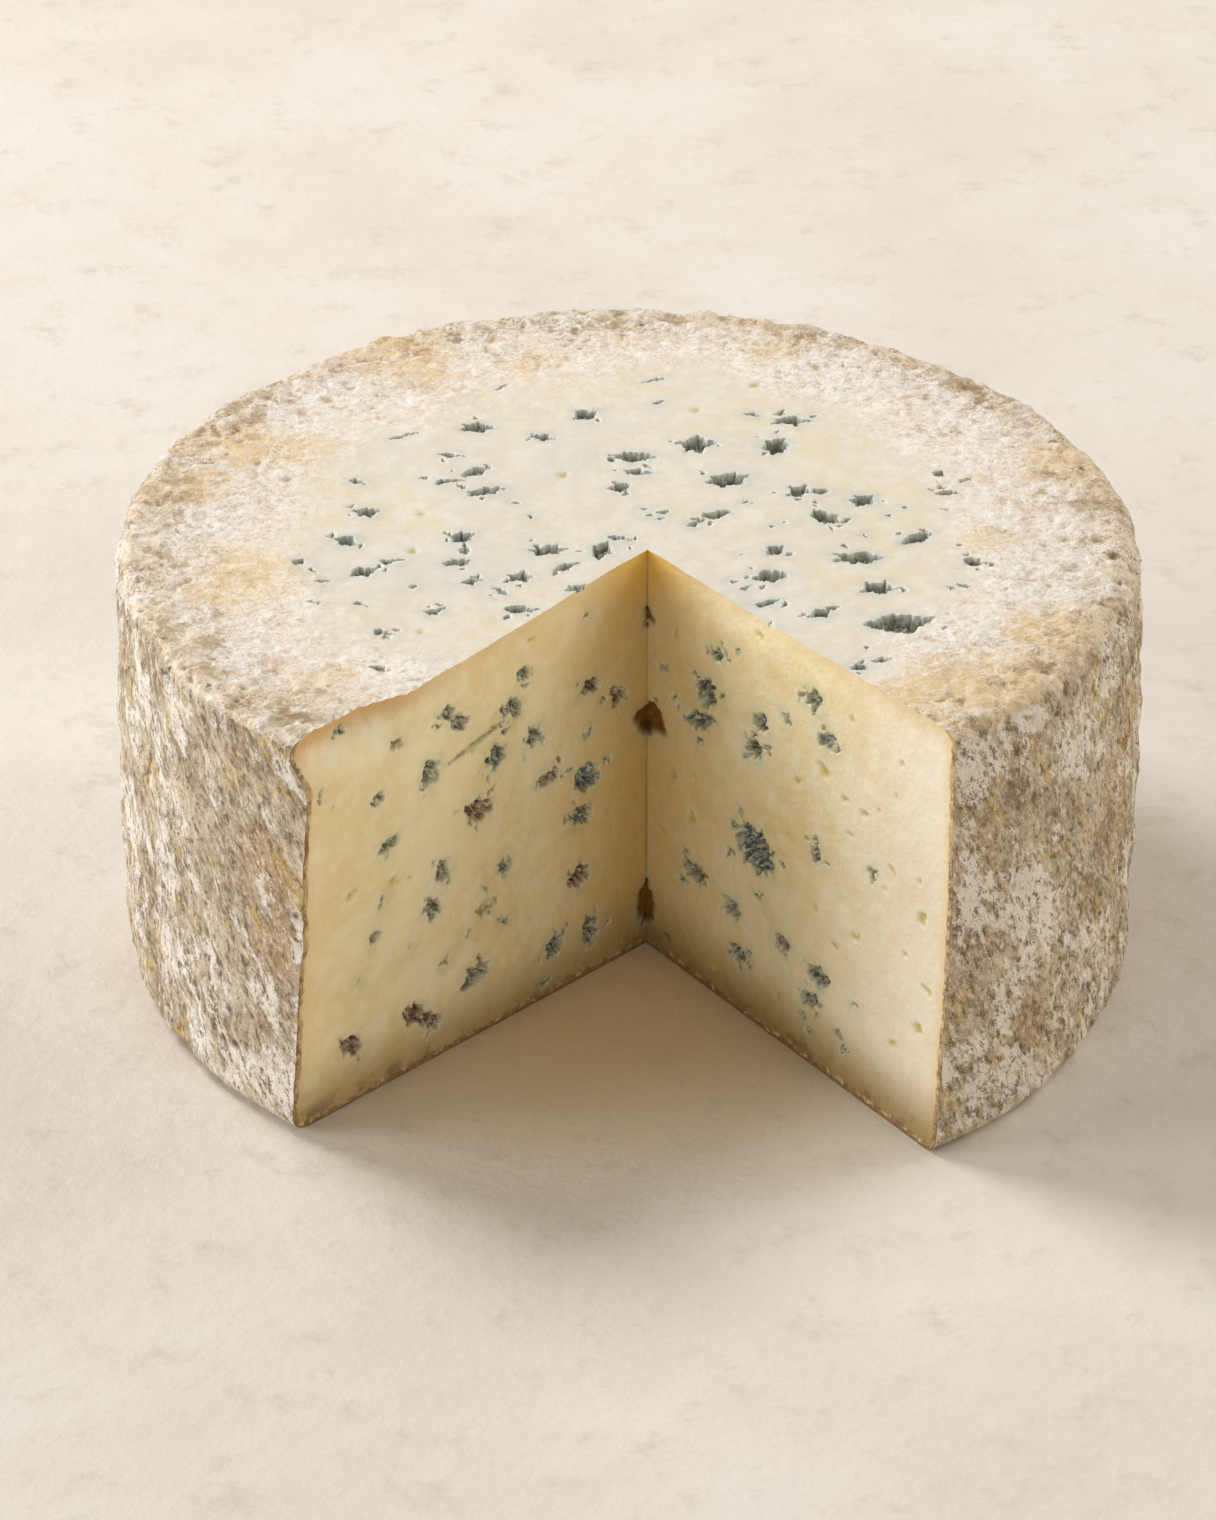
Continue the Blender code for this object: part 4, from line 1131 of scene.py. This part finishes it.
def top_sheet(surface, border, openings, rim, left_line, right_line):
    """The top, from its border's corners and their places in plan."""
    numbers, loop = border
    rim_heading = np.arctan2(rim[:, 1], rim[:, 0]) % FULL_TURN
    order = np.argsort(rim_heading)
    rim_heading, rim_reach = rim_heading[order], from_axis(rim)[order]

    def heading_on(line, along):
        """Heading of a cut's upper edge from -Y at each distance from the inner corner."""
        offset = line[1:, :2] - np.array([APEX_X, APEX_Y])
        return np.interp(along, from_axis(offset), np.arctan2(offset[:, 0], -offset[:, 1]))

    def inside(places, margin):
        """Whether places are inside the border by more than the margin."""
        heading = np.arctan2(places[:, 1], places[:, 0]) % FULL_TURN
        reach = np.interp(heading, rim_heading, rim_reach, period=FULL_TURN)
        offset = places - np.array([APEX_X, APEX_Y])
        along = from_axis(offset)
        turn = np.arctan2(offset[:, 0], -offset[:, 1])
        spare = margin / np.maximum(along, margin)
        in_cut = turn > heading_on(left_line, along) - spare
        in_cut &= turn < heading_on(right_line, along) + spare
        return (from_axis(places) < reach - margin) & ~in_cut

    corner = (-WHEEL_RADIUS, -WHEEL_RADIUS)
    inner = spread_points(openings, corner, (WHEEL_RADIUS, WHEEL_RADIUS), TOP_STEP, inside)
    places, sources, triangles = fill_sheet(loop, inner)
    points = np.column_stack([places, top_level(places, openings)])
    distance, _, stain, tint = openings.measure(places)
    fine = top_relief(np.column_stack([places, np.full(len(places), WHEEL_HEIGHT)]))[1]
    fields = {
        "mould": smooth_share(-distance, *MOULD_EDGE), "halo": stain, "tint": tint, "painted_highlight": painted_highlight_ring(distance),
        "pit": openings.dents(places), "crust": crust_share(places[:, 0], places[:, 1]),
        "relief": fine / RELIEF_RANGE, "rim": smooth_share(from_axis(places), *RIM_RANGE),
        "warm": patch_share(points, TOP_WARM), "dusky": patch_share(points, TOP_DUSKY)}
    return Sheet(surface, points, shared_numbers(sources, numbers), triangles, fields, plan_map(places))


def side_sheet(surface, numbers, points, heading, slope, fine):
    """Part of the crust's side, from its grid of corners."""
    levels, columns = numbers.shape
    local = np.arange(levels * columns).reshape(levels, columns)
    faces = np.stack([local[:-1, :-1], local[:-1, 1:], local[1:, 1:], local[1:, :-1]], axis=-1).reshape(-1, 4)
    level = points[:, :, 2].ravel()
    flat = points.reshape(-1, 3)
    fields = {
        "lid": np.maximum(np.sin(slope), 0.0).ravel(), "relief": fine.ravel() / RELIEF_RANGE,
        "rim": np.ones(len(flat)), "grain": slanted(flat), "warm": patch_share(flat, TOP_WARM),
        "dusky": patch_share(flat, TOP_DUSKY), "rust": patch_share(flat, SIDE_RUST),
        "bloom": patch_share(flat, SIDE_BLOOM) - patch_share(flat, SIDE_BARE)}
    flat_map = np.column_stack([heading.ravel() / FULL_TURN, level / (FULL_TURN * WHEEL_RADIUS)])
    return Sheet(surface, flat, numbers.ravel(), faces, fields, flat_map)


def foot_sheet(surface, numbers, loop):
    """The level underside."""
    inner = even_points((-WHEEL_RADIUS, -WHEEL_RADIUS), (WHEEL_RADIUS, WHEEL_RADIUS), FOOT_STEP)
    places, sources, triangles = fill_sheet(loop, inner)
    points = np.column_stack([places, np.zeros(len(places))])
    used = np.unique(triangles)
    renumber = np.full(len(places), -1)
    renumber[used] = np.arange(len(used))
    fields = dict.fromkeys(("lid", "relief", "rim", "warm", "dusky", "rust", "bloom"), np.zeros(len(used)))
    fields["grain"] = slanted(points[used])
    shared = shared_numbers(sources, numbers)[used]
    faces = renumber[triangles][:, ::-1]
    return Sheet(surface, points[used], shared, faces, fields, plan_map(places[used]))


def smooth_normals(points, sheets):
    """Normals at the corners of sheets that run smoothly into each other."""
    total = np.zeros_like(points)
    for sheet in sheets:
        corners = sheet.numbers[sheet.faces]
        across = face_normals(points[corners])
        for corner in corners.T:
            np.add.at(total, corner, across)
    return total / np.maximum(np.linalg.norm(total, axis=1), NO_LENGTH)[:, None]


def build_wheel():
    """Every sheet of the wheel's surface, its corners, and the two groups that are smooth in themselves."""
    openings = {place: Openings(*row) for place, row in ALL_OPENINGS.items()}
    surface = Surface()

    rows = meridian()
    start, end = cut_headings(1, rows), cut_headings(-1, rows)
    start = start - FULL_TURN
    columns = int(WHEEL_RADIUS * float(np.mean(end - start)) / SIDE_STEP) + 1
    heading = start[:, None] + (end - start)[:, None] * np.linspace(0.0, 1.0, columns)
    inset, height, slope = (np.repeat(rows[:, [index]], columns, axis=1) for index in range(3))
    points, fine = crust_points(heading, inset, height, slope)
    points = points.reshape(len(rows), columns, 3)
    fine = fine.reshape(len(rows), columns)
    for side, column in ((1, 0), (-1, -1)):
        ends = points[:, column]
        points[:, column] = face_points(side, from_apex(ends), ends[:, 2])
    grid = surface.add(points.reshape(-1, 3)).reshape(len(rows), columns)
    middle = columns // 2
    halves = {"crust_right": slice(0, middle + 1), "crust_left": slice(middle, columns)}
    sheets = {}
    for name, half in halves.items():
        parts = (values[:, half] for values in (grid, points, heading, slope, fine))
        sheets[name] = side_sheet(surface, *parts)

    ends = {1: grid[:, 0], -1: grid[:, -1]}
    outer = {}
    edges = {}
    feet = {}
    for side in (-1, 1):
        places = surface.points[ends[side]]
        along = from_apex(places)
        outer[side] = np.column_stack([along, places[:, 2]])
        edges[side] = top_edge(side, along[-1], openings["top"])
        foot_along = np.linspace(0.0, along[0], int(along[0] / FACE_STEP) + 1)[1:-1]
        feet[side] = face_points(side, foot_along, np.zeros(len(foot_along)))
    apex_top = edges[-1][0]
    levels = np.linspace(0.0, apex_top[2], int(apex_top[2] / FINE_STEP) + 1)
    spine = np.column_stack([np.full(len(levels), APEX_X), np.full(len(levels), APEX_Y), levels])
    spine_numbers = surface.add(corner_push(spine, openings["corner"]))
    edge_numbers = {side: surface.add(edges[side][1:]) for side in (-1, 1)}
    foot_numbers = {side: surface.add(feet[side]) for side in (-1, 1)}

    rim_numbers = grid[-1]
    loop = np.concatenate([rim_numbers, edge_numbers[-1][::-1], spine_numbers[-1:], edge_numbers[1]])
    sheets["top"] = top_sheet(surface, (loop, surface.points[loop][:, :2]), openings["top"],
                              surface.points[rim_numbers], edges[-1], edges[1])
    for side, name in ((-1, "cut_left"), (1, "cut_right")):
        loop = np.concatenate([spine_numbers[:1], foot_numbers[side], ends[side], edge_numbers[side][::-1],
                               spine_numbers[:0:-1]])
        places = surface.points[loop]
        along = from_apex(places)
        along[-len(spine_numbers) + 1:] = 0.0
        border = (loop, np.column_stack([along, places[:, 2]]))
        top_numbers = np.concatenate([spine_numbers[-1:], edge_numbers[side], ends[side][-1:]])
        top_places = surface.points[top_numbers]
        top_line = np.column_stack([from_apex(top_places), top_places[:, 2]])
        sheets[name] = face_sheet(surface, side, border, openings[side], openings["corner"],
                                  top_line, outer[side])
    loop = np.concatenate([grid[0], foot_numbers[-1][::-1], spine_numbers[:1], foot_numbers[1]])
    sheets["foot"] = foot_sheet(surface, loop, surface.points[loop][:, :2])
    groups = (("crust_left", "crust_right", "top", "foot"), ("cut_left",), ("cut_right",))
    return surface, sheets, groups


def show_piece(name, points, sheet, normals, material):
    """Make an object of one sheet, with its fields, flat map and finish."""
    mesh = bpy.data.meshes.new(name)
    faces = sheet.faces
    mesh.vertices.add(len(sheet.numbers))
    mesh.vertices.foreach_set("co", points[sheet.numbers].ravel())
    mesh.loops.add(faces.size)
    mesh.loops.foreach_set("vertex_index", faces.ravel())
    mesh.polygons.add(len(faces))
    mesh.polygons.foreach_set("loop_start", np.arange(len(faces)) * faces.shape[1])
    mesh.polygons.foreach_set("use_smooth", np.ones(len(faces), dtype=bool))
    mesh.update(calc_edges=True)
    for field, values in sheet.fields.items():
        kind, part = ("FLOAT_VECTOR", "vector") if values.ndim == 2 else ("FLOAT", "value")
        mesh.attributes.new(field, kind, "POINT").data.foreach_set(part, values.ravel().astype(np.float32))
    flat_map = mesh.uv_layers.new(name="OFBake")
    flat_map.data.foreach_set("uv", sheet.flat_map[faces.ravel()].ravel())
    mesh.normals_split_custom_set_from_vertices(normals[sheet.numbers].tolist())
    mesh.materials.append(material)
    piece = bpy.data.objects.new(name, mesh)
    bpy.context.scene.collection.objects.link(piece)
    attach(piece, "root")
    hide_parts("cheese_wheel")
    return piece


class Finish:
    """A material, with short names for the nodes it is made from."""

    def __init__(self, name):
        self.material = bpy.data.materials.new(name)
        self.material.use_nodes = True
        self.tree = self.material.node_tree
        self.shader = self.tree.nodes["Principled BSDF"]
        self.place = self.tree.nodes.new("ShaderNodeTexCoord").outputs["Object"]

    def feed(self, socket, value):
        """Set a socket, or link it where the value is another node's output."""
        if isinstance(value, bpy.types.NodeSocket):
            self.tree.links.new(value, socket)
        else:
            socket.default_value = value

    def field(self, name):
        """A field that the mesh carries."""
        node = self.tree.nodes.new("ShaderNodeAttribute")
        node.attribute_name = name
        return node.outputs["Fac"]

    def places(self, name):
        """Places that the mesh carries, for a pattern that follows them."""
        node = self.tree.nodes.new("ShaderNodeAttribute")
        node.attribute_name = name
        return node.outputs["Vector"]

    def noise(self, size, detail, roughness, place=None):
        """Noise with features of the given size in metres, 0 to 1 round 0.5."""
        node = self.tree.nodes.new("ShaderNodeTexNoise")
        self.feed(node.inputs["Vector"], place or self.place)
        node.inputs["Scale"].default_value = 1.0 / size
        node.inputs["Detail"].default_value = detail
        node.inputs["Roughness"].default_value = roughness
        return node.outputs["Fac"]

    def math(self, operation, first, second=0.0):
        """One sum."""
        node = self.tree.nodes.new("ShaderNodeMath")
        node.operation = operation
        self.feed(node.inputs[0], first)
        self.feed(node.inputs[1], second)
        return node.outputs["Value"]

    def plus(self, first, second):
        """Two values added."""
        return self.math("ADD", first, second)

    def times(self, first, second):
        """Two values multiplied."""
        return self.math("MULTIPLY", first, second)

    def step(self, value, start, end, low=0.0, high=1.0):
        """An even ease from low to high as the value goes from start to end."""
        node = self.tree.nodes.new("ShaderNodeMapRange")
        node.interpolation_type = "SMOOTHSTEP"
        self.feed(node.inputs["Value"], value)
        for socket, number in zip(("From Min", "From Max", "To Min", "To Max"), (start, end, low, high)):
            node.inputs[socket].default_value = number
        return node.outputs["Result"]

    def mix(self, share, first, second):
        """A blend of two colours."""
        node = self.tree.nodes.new("ShaderNodeMix")
        node.data_type = "RGBA"
        self.feed(node.inputs[0], share)
        self.feed(node.inputs[6], first)
        self.feed(node.inputs[7], second)
        return node.outputs[2]

    def coated(self, base, patterns, coats):
        """A base colour with its coats over it, each as strong as its pattern or a step of it."""
        for name, limits, shade in coats:
            share = self.step(patterns[name], *limits) if limits else patterns[name]
            base = self.mix(share, base, shade)
        return base

    def cover(self, shade, roughness, specular):
        """Give the surface its colour, roughness and specular level."""
        self.feed(self.shader.inputs["Base Color"], shade)
        self.feed(self.shader.inputs["Roughness"], roughness)
        self.shader.inputs["Specular IOR Level"].default_value = specular

    def bump(self, height, distance):
        """Fine relief over the shape itself."""
        node = self.tree.nodes.new("ShaderNodeBump")
        self.feed(node.inputs["Height"], height)
        node.inputs["Distance"].default_value = distance
        node.inputs["Strength"].default_value = 1.0
        self.feed(self.shader.inputs["Normal"], node.outputs["Normal"])


def mould_colour(finish, paste, shades, halo_colour, crumb_share):
    """Paste with mould in its openings, crumbs among it, and a faint stain round them."""
    green, blue, brown, olive, amber, powder, dust = shades
    patterns = {"tint": finish.field("tint")}
    dark = finish.coated(green, patterns, (
        ("tint", BLUE_STEP, blue), ("tint", BROWN_STEP, brown), ("tint", OLIVE_STEP, olive),
        ("tint", AMBER_STEP, amber)))
    light = finish.coated(powder, patterns, (("tint", BROWN_STEP, dust), ("tint", AMBER_STEP, amber)))
    streaks = finish.noise(*MOULD_STREAKS)
    inside = finish.mix(finish.step(streaks, *POWDER_STEP), dark, light)
    crumbs = finish.step(streaks, *CRUMB_STEP, 0.0, crumb_share)
    inside = finish.mix(finish.times(crumbs, finish.step(patterns["tint"], *NOT_AMBER)), inside, MOULD_CRUMB)
    ragged = finish.step(finish.noise(*HALO_NOISE), *HALO_STEP)
    halo = finish.times(finish.times(finish.field("halo"), ragged), HALO_STRENGTH)
    return finish.mix(finish.field("mould"), finish.mix(halo, paste, halo_colour), inside)


def crevices(finish, place, strength):
    """Thin winding cracks between the flakes, here and there."""
    line = finish.math("ABSOLUTE", finish.math("SUBTRACT", finish.noise(*CRACK_NOISE, place), 0.5))
    open_part = finish.step(finish.noise(*CRACK_SPREAD), *CRACK_STEP, 0.0, strength)
    return finish.times(finish.step(line, *CRACK_EDGE), open_part)


def top_paste_colour(finish):
    """Bare paste of the top: ivory with whiter curds and creamier patches."""
    patterns = {name: finish.noise(*size) for name, size in TOP_NOISE.items()}
    return finish.coated(TOP_CREAM, patterns, TOP_COATS)


def lid_crust_colour(finish):
    """Crust of the top: pinkish white bloom, with ochre patches and grey-brown flecks towards the edge,
    darker tan between its grains that is partly painted shade, and painted shade in the hollows and painted
    highlights on the ridges of its fine relief.
    """
    patterns = {name: finish.noise(*size) for name, size in LID_NOISE.items()}
    rim, warm = finish.field("rim"), finish.field("warm")
    dusk = finish.plus(finish.times(rim, RIM_FLECKS), finish.times(finish.field("dusky"), DUSKY_FLECKS))
    patterns["ochre"] = finish.plus(finish.step(patterns["patches"], *OCHRE_STEP), warm)
    patterns["glow"] = finish.times(warm, finish.step(patterns["patches"], *GLOW_STEP))
    patterns["band"] = finish.times(finish.step(patterns["band"], *BAND_STEP), finish.step(rim, *BAND_RIM))
    patterns["flecks"] = finish.plus(patterns["flecks"], dusk)
    cracks = crevices(finish, finish.place, LID_CRACKS)
    patterns["cracks"] = finish.times(cracks, finish.step(rim, *CRACK_RIM))
    patterns["relief"] = finish.field("relief")
    return finish.coated(LID_TAN, patterns, LID_COATS)


def side_crust_colour(finish):
    """Crust of the side: grey-brown with white flakes, ochre and olive patches and dark pits."""
    grain = finish.places("grain")
    rust = finish.field("rust")
    patterns = {name: finish.noise(*size) for name, size in SIDE_NOISE.items()}
    patterns.update({name: finish.noise(*size, grain) for name, size in SIDE_GRAIN_NOISE.items()})
    bloom = finish.plus(finish.times(finish.field("bloom"), BLOOM_SHIFT), finish.times(rust, RUST_SHIFT))
    patterns["white"] = finish.plus(patterns["white"], bloom)
    patterns["rust"] = finish.times(rust, RUST_STRENGTH)
    patterns["cracks"] = crevices(finish, grain, SIDE_CRACKS)
    patterns["relief"] = finish.field("relief")
    return finish.coated(SIDE_BROWN, patterns, SIDE_COATS)


def rough_bump(finish, crust):
    """Fine crumbs of the crust and soft waves of the paste."""
    crumbs = finish.times(finish.noise(*CRUMB_NOISE), crust)
    soft = finish.times(finish.noise(*SOFT_NOISE), SOFT_SHARE)
    finish.bump(finish.plus(crumbs, soft), CRUST_BUMP)


def top_finish():
    """The top: paste in the middle, running into crust all round."""
    finish = Finish("cheese_top")
    crust = finish.field("crust")
    pit = finish.field("pit")
    wander = finish.step(finish.noise(*TOP_WANDER_NOISE), *TOP_WANDER)
    blend = finish.step(finish.plus(finish.times(crust, CRUST_GAIN), wander), *TOP_BLEND)
    paste = finish.mix(pit, top_paste_colour(finish), TOP_PIT)
    # painted highlight round the openings
    paste = finish.mix(finish.times(finish.field("painted_highlight"), TOP_HIGHLIGHT_SHARE), paste, TOP_HIGHLIGHT)
    paste = mould_colour(finish, paste, TOP_MOULD, HALO_TOP, TOP_CRUMBS)
    rind = finish.mix(pit, lid_crust_colour(finish), LID_RIM)
    marked = finish.mix(finish.field("mould"), finish.mix(blend, paste, rind), paste)
    finish.cover(marked, finish.step(crust, 0.0, 1.0, PASTE_ROUGHNESS, CRUST_ROUGHNESS), CRUST_SPECULAR)
    rough_bump(finish, crust)
    return finish.material


def crust_finish():
    """The side and the foot, with the crust of the top running over the edge."""
    finish = Finish("cheese_crust")
    side = side_crust_colour(finish)
    lid = lid_crust_colour(finish)
    wander = finish.step(finish.noise(*LID_WANDER_NOISE), *LID_WANDER)
    edge = finish.step(finish.plus(finish.field("lid"), wander), *LID_BLEND)
    finish.cover(finish.mix(edge, side, lid), CRUST_ROUGHNESS, CRUST_SPECULAR)
    rough_bump(finish, 1.0)
    return finish.material


def cut_finish(name, warm_and_shade_share, pale_share, rust_share, painted_shade_share):
    """A cut face: buttery paste with mould in its openings, painted shade towards its foot, warmer paste that
    is partly painted shade towards its inner corner, painted shade along the crease there, a painted
    highlight round each opening, and the crust in section round its edge.
    """
    finish = Finish(name)
    patterns = {pattern: finish.noise(*size) for pattern, size in CUT_NOISE.items()}
    along, from_top = finish.field("along"), finish.field("from_top")
    wander = finish.step(finish.noise(*CUT_WANDER_NOISE), *CUT_WANDER)
    outward = finish.plus(finish.field("from_crust"), finish.times(wander, OUTWARD_WANDER))
    low = finish.plus(finish.field("from_foot"), finish.times(wander, LOW_WANDER))
    high = finish.plus(from_top, wander)
    patterns["pale"] = finish.step(along, *PALE_ALONG, 0.0, pale_share)
    # warmer, darker paste towards the inner corner, partly painted shade
    patterns["warm"] = finish.step(along, *WARM_AND_SHADE_ALONG, 0.0, warm_and_shade_share)
    patterns["high"] = high
    patterns["apex"] = finish.times(finish.step(along, *GLOW_ALONG), finish.step(from_top, *GLOW_DOWN))
    patterns["outward"] = outward
    # painted shade, darker towards the foot
    patterns["shade"] = finish.step(low, *PAINTED_SHADE_UP, 0.0, painted_shade_share)
    smears_and_shade = finish.step(patterns["smears_and_shade"], *SMEAR_AND_SHADE_STEP)
    patterns["smears_and_shade"] = finish.times(smears_and_shade, finish.step(low, *SMEAR_AND_SHADE_UP))
    rust = finish.step(along, *RUST_ALONG, 0.0, rust_share)
    patterns["rust"] = finish.times(rust, finish.step(high, *RUST_DOWN))
    patterns["pit"] = finish.times(finish.field("pit"), CUT_PIT_SHARE)
    # painted highlight round the openings
    patterns["painted_highlight"] = finish.times(finish.field("painted_highlight"), CUT_HIGHLIGHT_SHARE)
    paste = finish.coated(CUT_BUTTER, patterns, CUT_COATS)
    paste = mould_colour(finish, paste, CUT_MOULD, HALO_CUT, CUT_CRUMBS)
    section = finish.math("MINIMUM", outward, finish.math("SUBTRACT", low, FOOT_SECTION))
    flecks = finish.step(finish.noise(*SECTION_NOISE), *SECTION_STEP)
    rind = finish.mix(flecks, SECTION_BROWN, SECTION_PALE)
    rind = finish.mix(finish.step(section, *SECTION_EDGE), rind, SECTION_BROWN)
    broken = finish.times(finish.step(section, *SECTION_WIDTH), finish.step(wander, *SECTION_BREAKS))
    marked = finish.mix(broken, paste, rind)
    # painted shade along the inner corner
    marked = finish.mix(finish.step(along, *PAINTED_CREASE_SHADE_ALONG), marked, PAINTED_CREASE_SHADE)
    finish.cover(marked, CUT_ROUGHNESS, CUT_SPECULAR)
    finish.shader.inputs["Subsurface Scale"].default_value = SCATTER_SCALE
    finish.shader.inputs["Subsurface Radius"].default_value = SCATTER
    finish.shader.inputs["Subsurface Weight"].default_value = SCATTER_WEIGHT
    fine = finish.times(finish.noise(*CUT_FINE_NOISE), CUT_FINE_SHARE)
    finish.bump(finish.plus(fine, finish.noise(*SOFT_NOISE)), CUT_BUMP)
    return finish.material


def floor_finish():
    """Pale plaster with a faint mottle, and painted warm shade on the floor round the wheel."""
    finish = Finish("plaster")
    base = finish.mix(finish.step(finish.noise(*FLOOR_BROAD), *FLOOR_STEP), FLOOR_WARM, FLOOR_PALE)
    reach = finish.tree.nodes.new("ShaderNodeVectorMath")
    reach.operation = "LENGTH"
    finish.feed(reach.inputs[0], finish.place)
    # painted warm shade round the wheel
    base = finish.mix(finish.step(reach.outputs["Value"], *PAINTED_SHADE_RANGE), base, FLOOR_PAINTED_SHADE)
    fine = finish.noise(*FLOOR_FINE)
    spots = finish.step(fine, *SPOT_STEP)
    finish.cover(finish.mix(spots, base, FLOOR_SPOT), FLOOR_ROUGHNESS, FLOOR_SPECULAR)
    finish.bump(fine, FLOOR_BUMP)
    return finish.material


def add_floor():
    """A wide plain floor."""
    mesh = bpy.data.meshes.new("floor")
    corners = [(x * FLOOR_HALF, y * FLOOR_HALF, 0.0) for x, y in ((-1, -1), (1, -1), (1, 1), (-1, 1))]
    mesh.from_pydata(corners, [], [(0, 1, 2, 3)])
    mesh.materials.append(floor_finish())
    floor = bpy.data.objects.new("floor", mesh)
    bpy.context.scene.collection.objects.link(floor)


def aim(item, place, target):
    """Put an object at a place, looking at a target."""
    item.location = place
    item.rotation_euler = (Vector(target) - Vector(place)).to_track_quat("-Z", "Y").to_euler()
    bpy.context.scene.collection.objects.link(item)


def add_light():
    """A large soft key from the upper left, and even light from all round."""
    world = bpy.data.worlds.new("studio")
    world.use_nodes = True
    background = world.node_tree.nodes["Background"]
    background.inputs["Color"].default_value = SKY_COLOUR
    background.inputs["Strength"].default_value = SKY_STRENGTH
    bpy.context.scene.world = world
    for name, place, size, power, tone in LIGHTS:
        lamp = bpy.data.lights.new(name, "AREA")
        lamp.shape = "DISK"
        lamp.size = size
        lamp.energy = power
        lamp.color = tone
        aim(bpy.data.objects.new(name, lamp), place, (0.0, 0.0, 0.5 * WHEEL_HEIGHT))


def add_camera():
    """The photograph's view: from the front, a little over 30 degrees above the table."""
    camera = bpy.data.cameras.new("camera")
    camera.sensor_width = SENSOR_WIDTH
    camera.lens = CAMERA_FOCAL_PX / PHOTO_HEIGHT * SENSOR_WIDTH
    camera.clip_start, camera.clip_end = CLIP_RANGE
    item = bpy.data.objects.new("camera", camera)
    rise = math.radians(CAMERA_ELEVATION)
    away = Vector((0.0, -math.cos(rise), math.sin(rise))) * CAMERA_DISTANCE
    aim(item, Vector(CAMERA_AIM) + away, CAMERA_AIM)
    bpy.context.scene.camera = item


def main():
    """Build the wheel, its finishes, the floor, the light and the camera."""
    surface, sheets, groups = build_wheel()
    crust = crust_finish()
    finishes = {"top": top_finish()}
    for name, shares in CUT_SHARES.items():
        finishes[name] = cut_finish("cheese_" + name, *shares)
    for names in groups:
        normals = smooth_normals(surface.points, [sheets[name] for name in names])
        for name in names:
            show_piece(name, surface.points, sheets[name], normals, finishes.get(name, crust))
    add_floor()
    add_light()
    add_camera()
    bpy.context.scene.view_settings.view_transform = "Standard"


main()
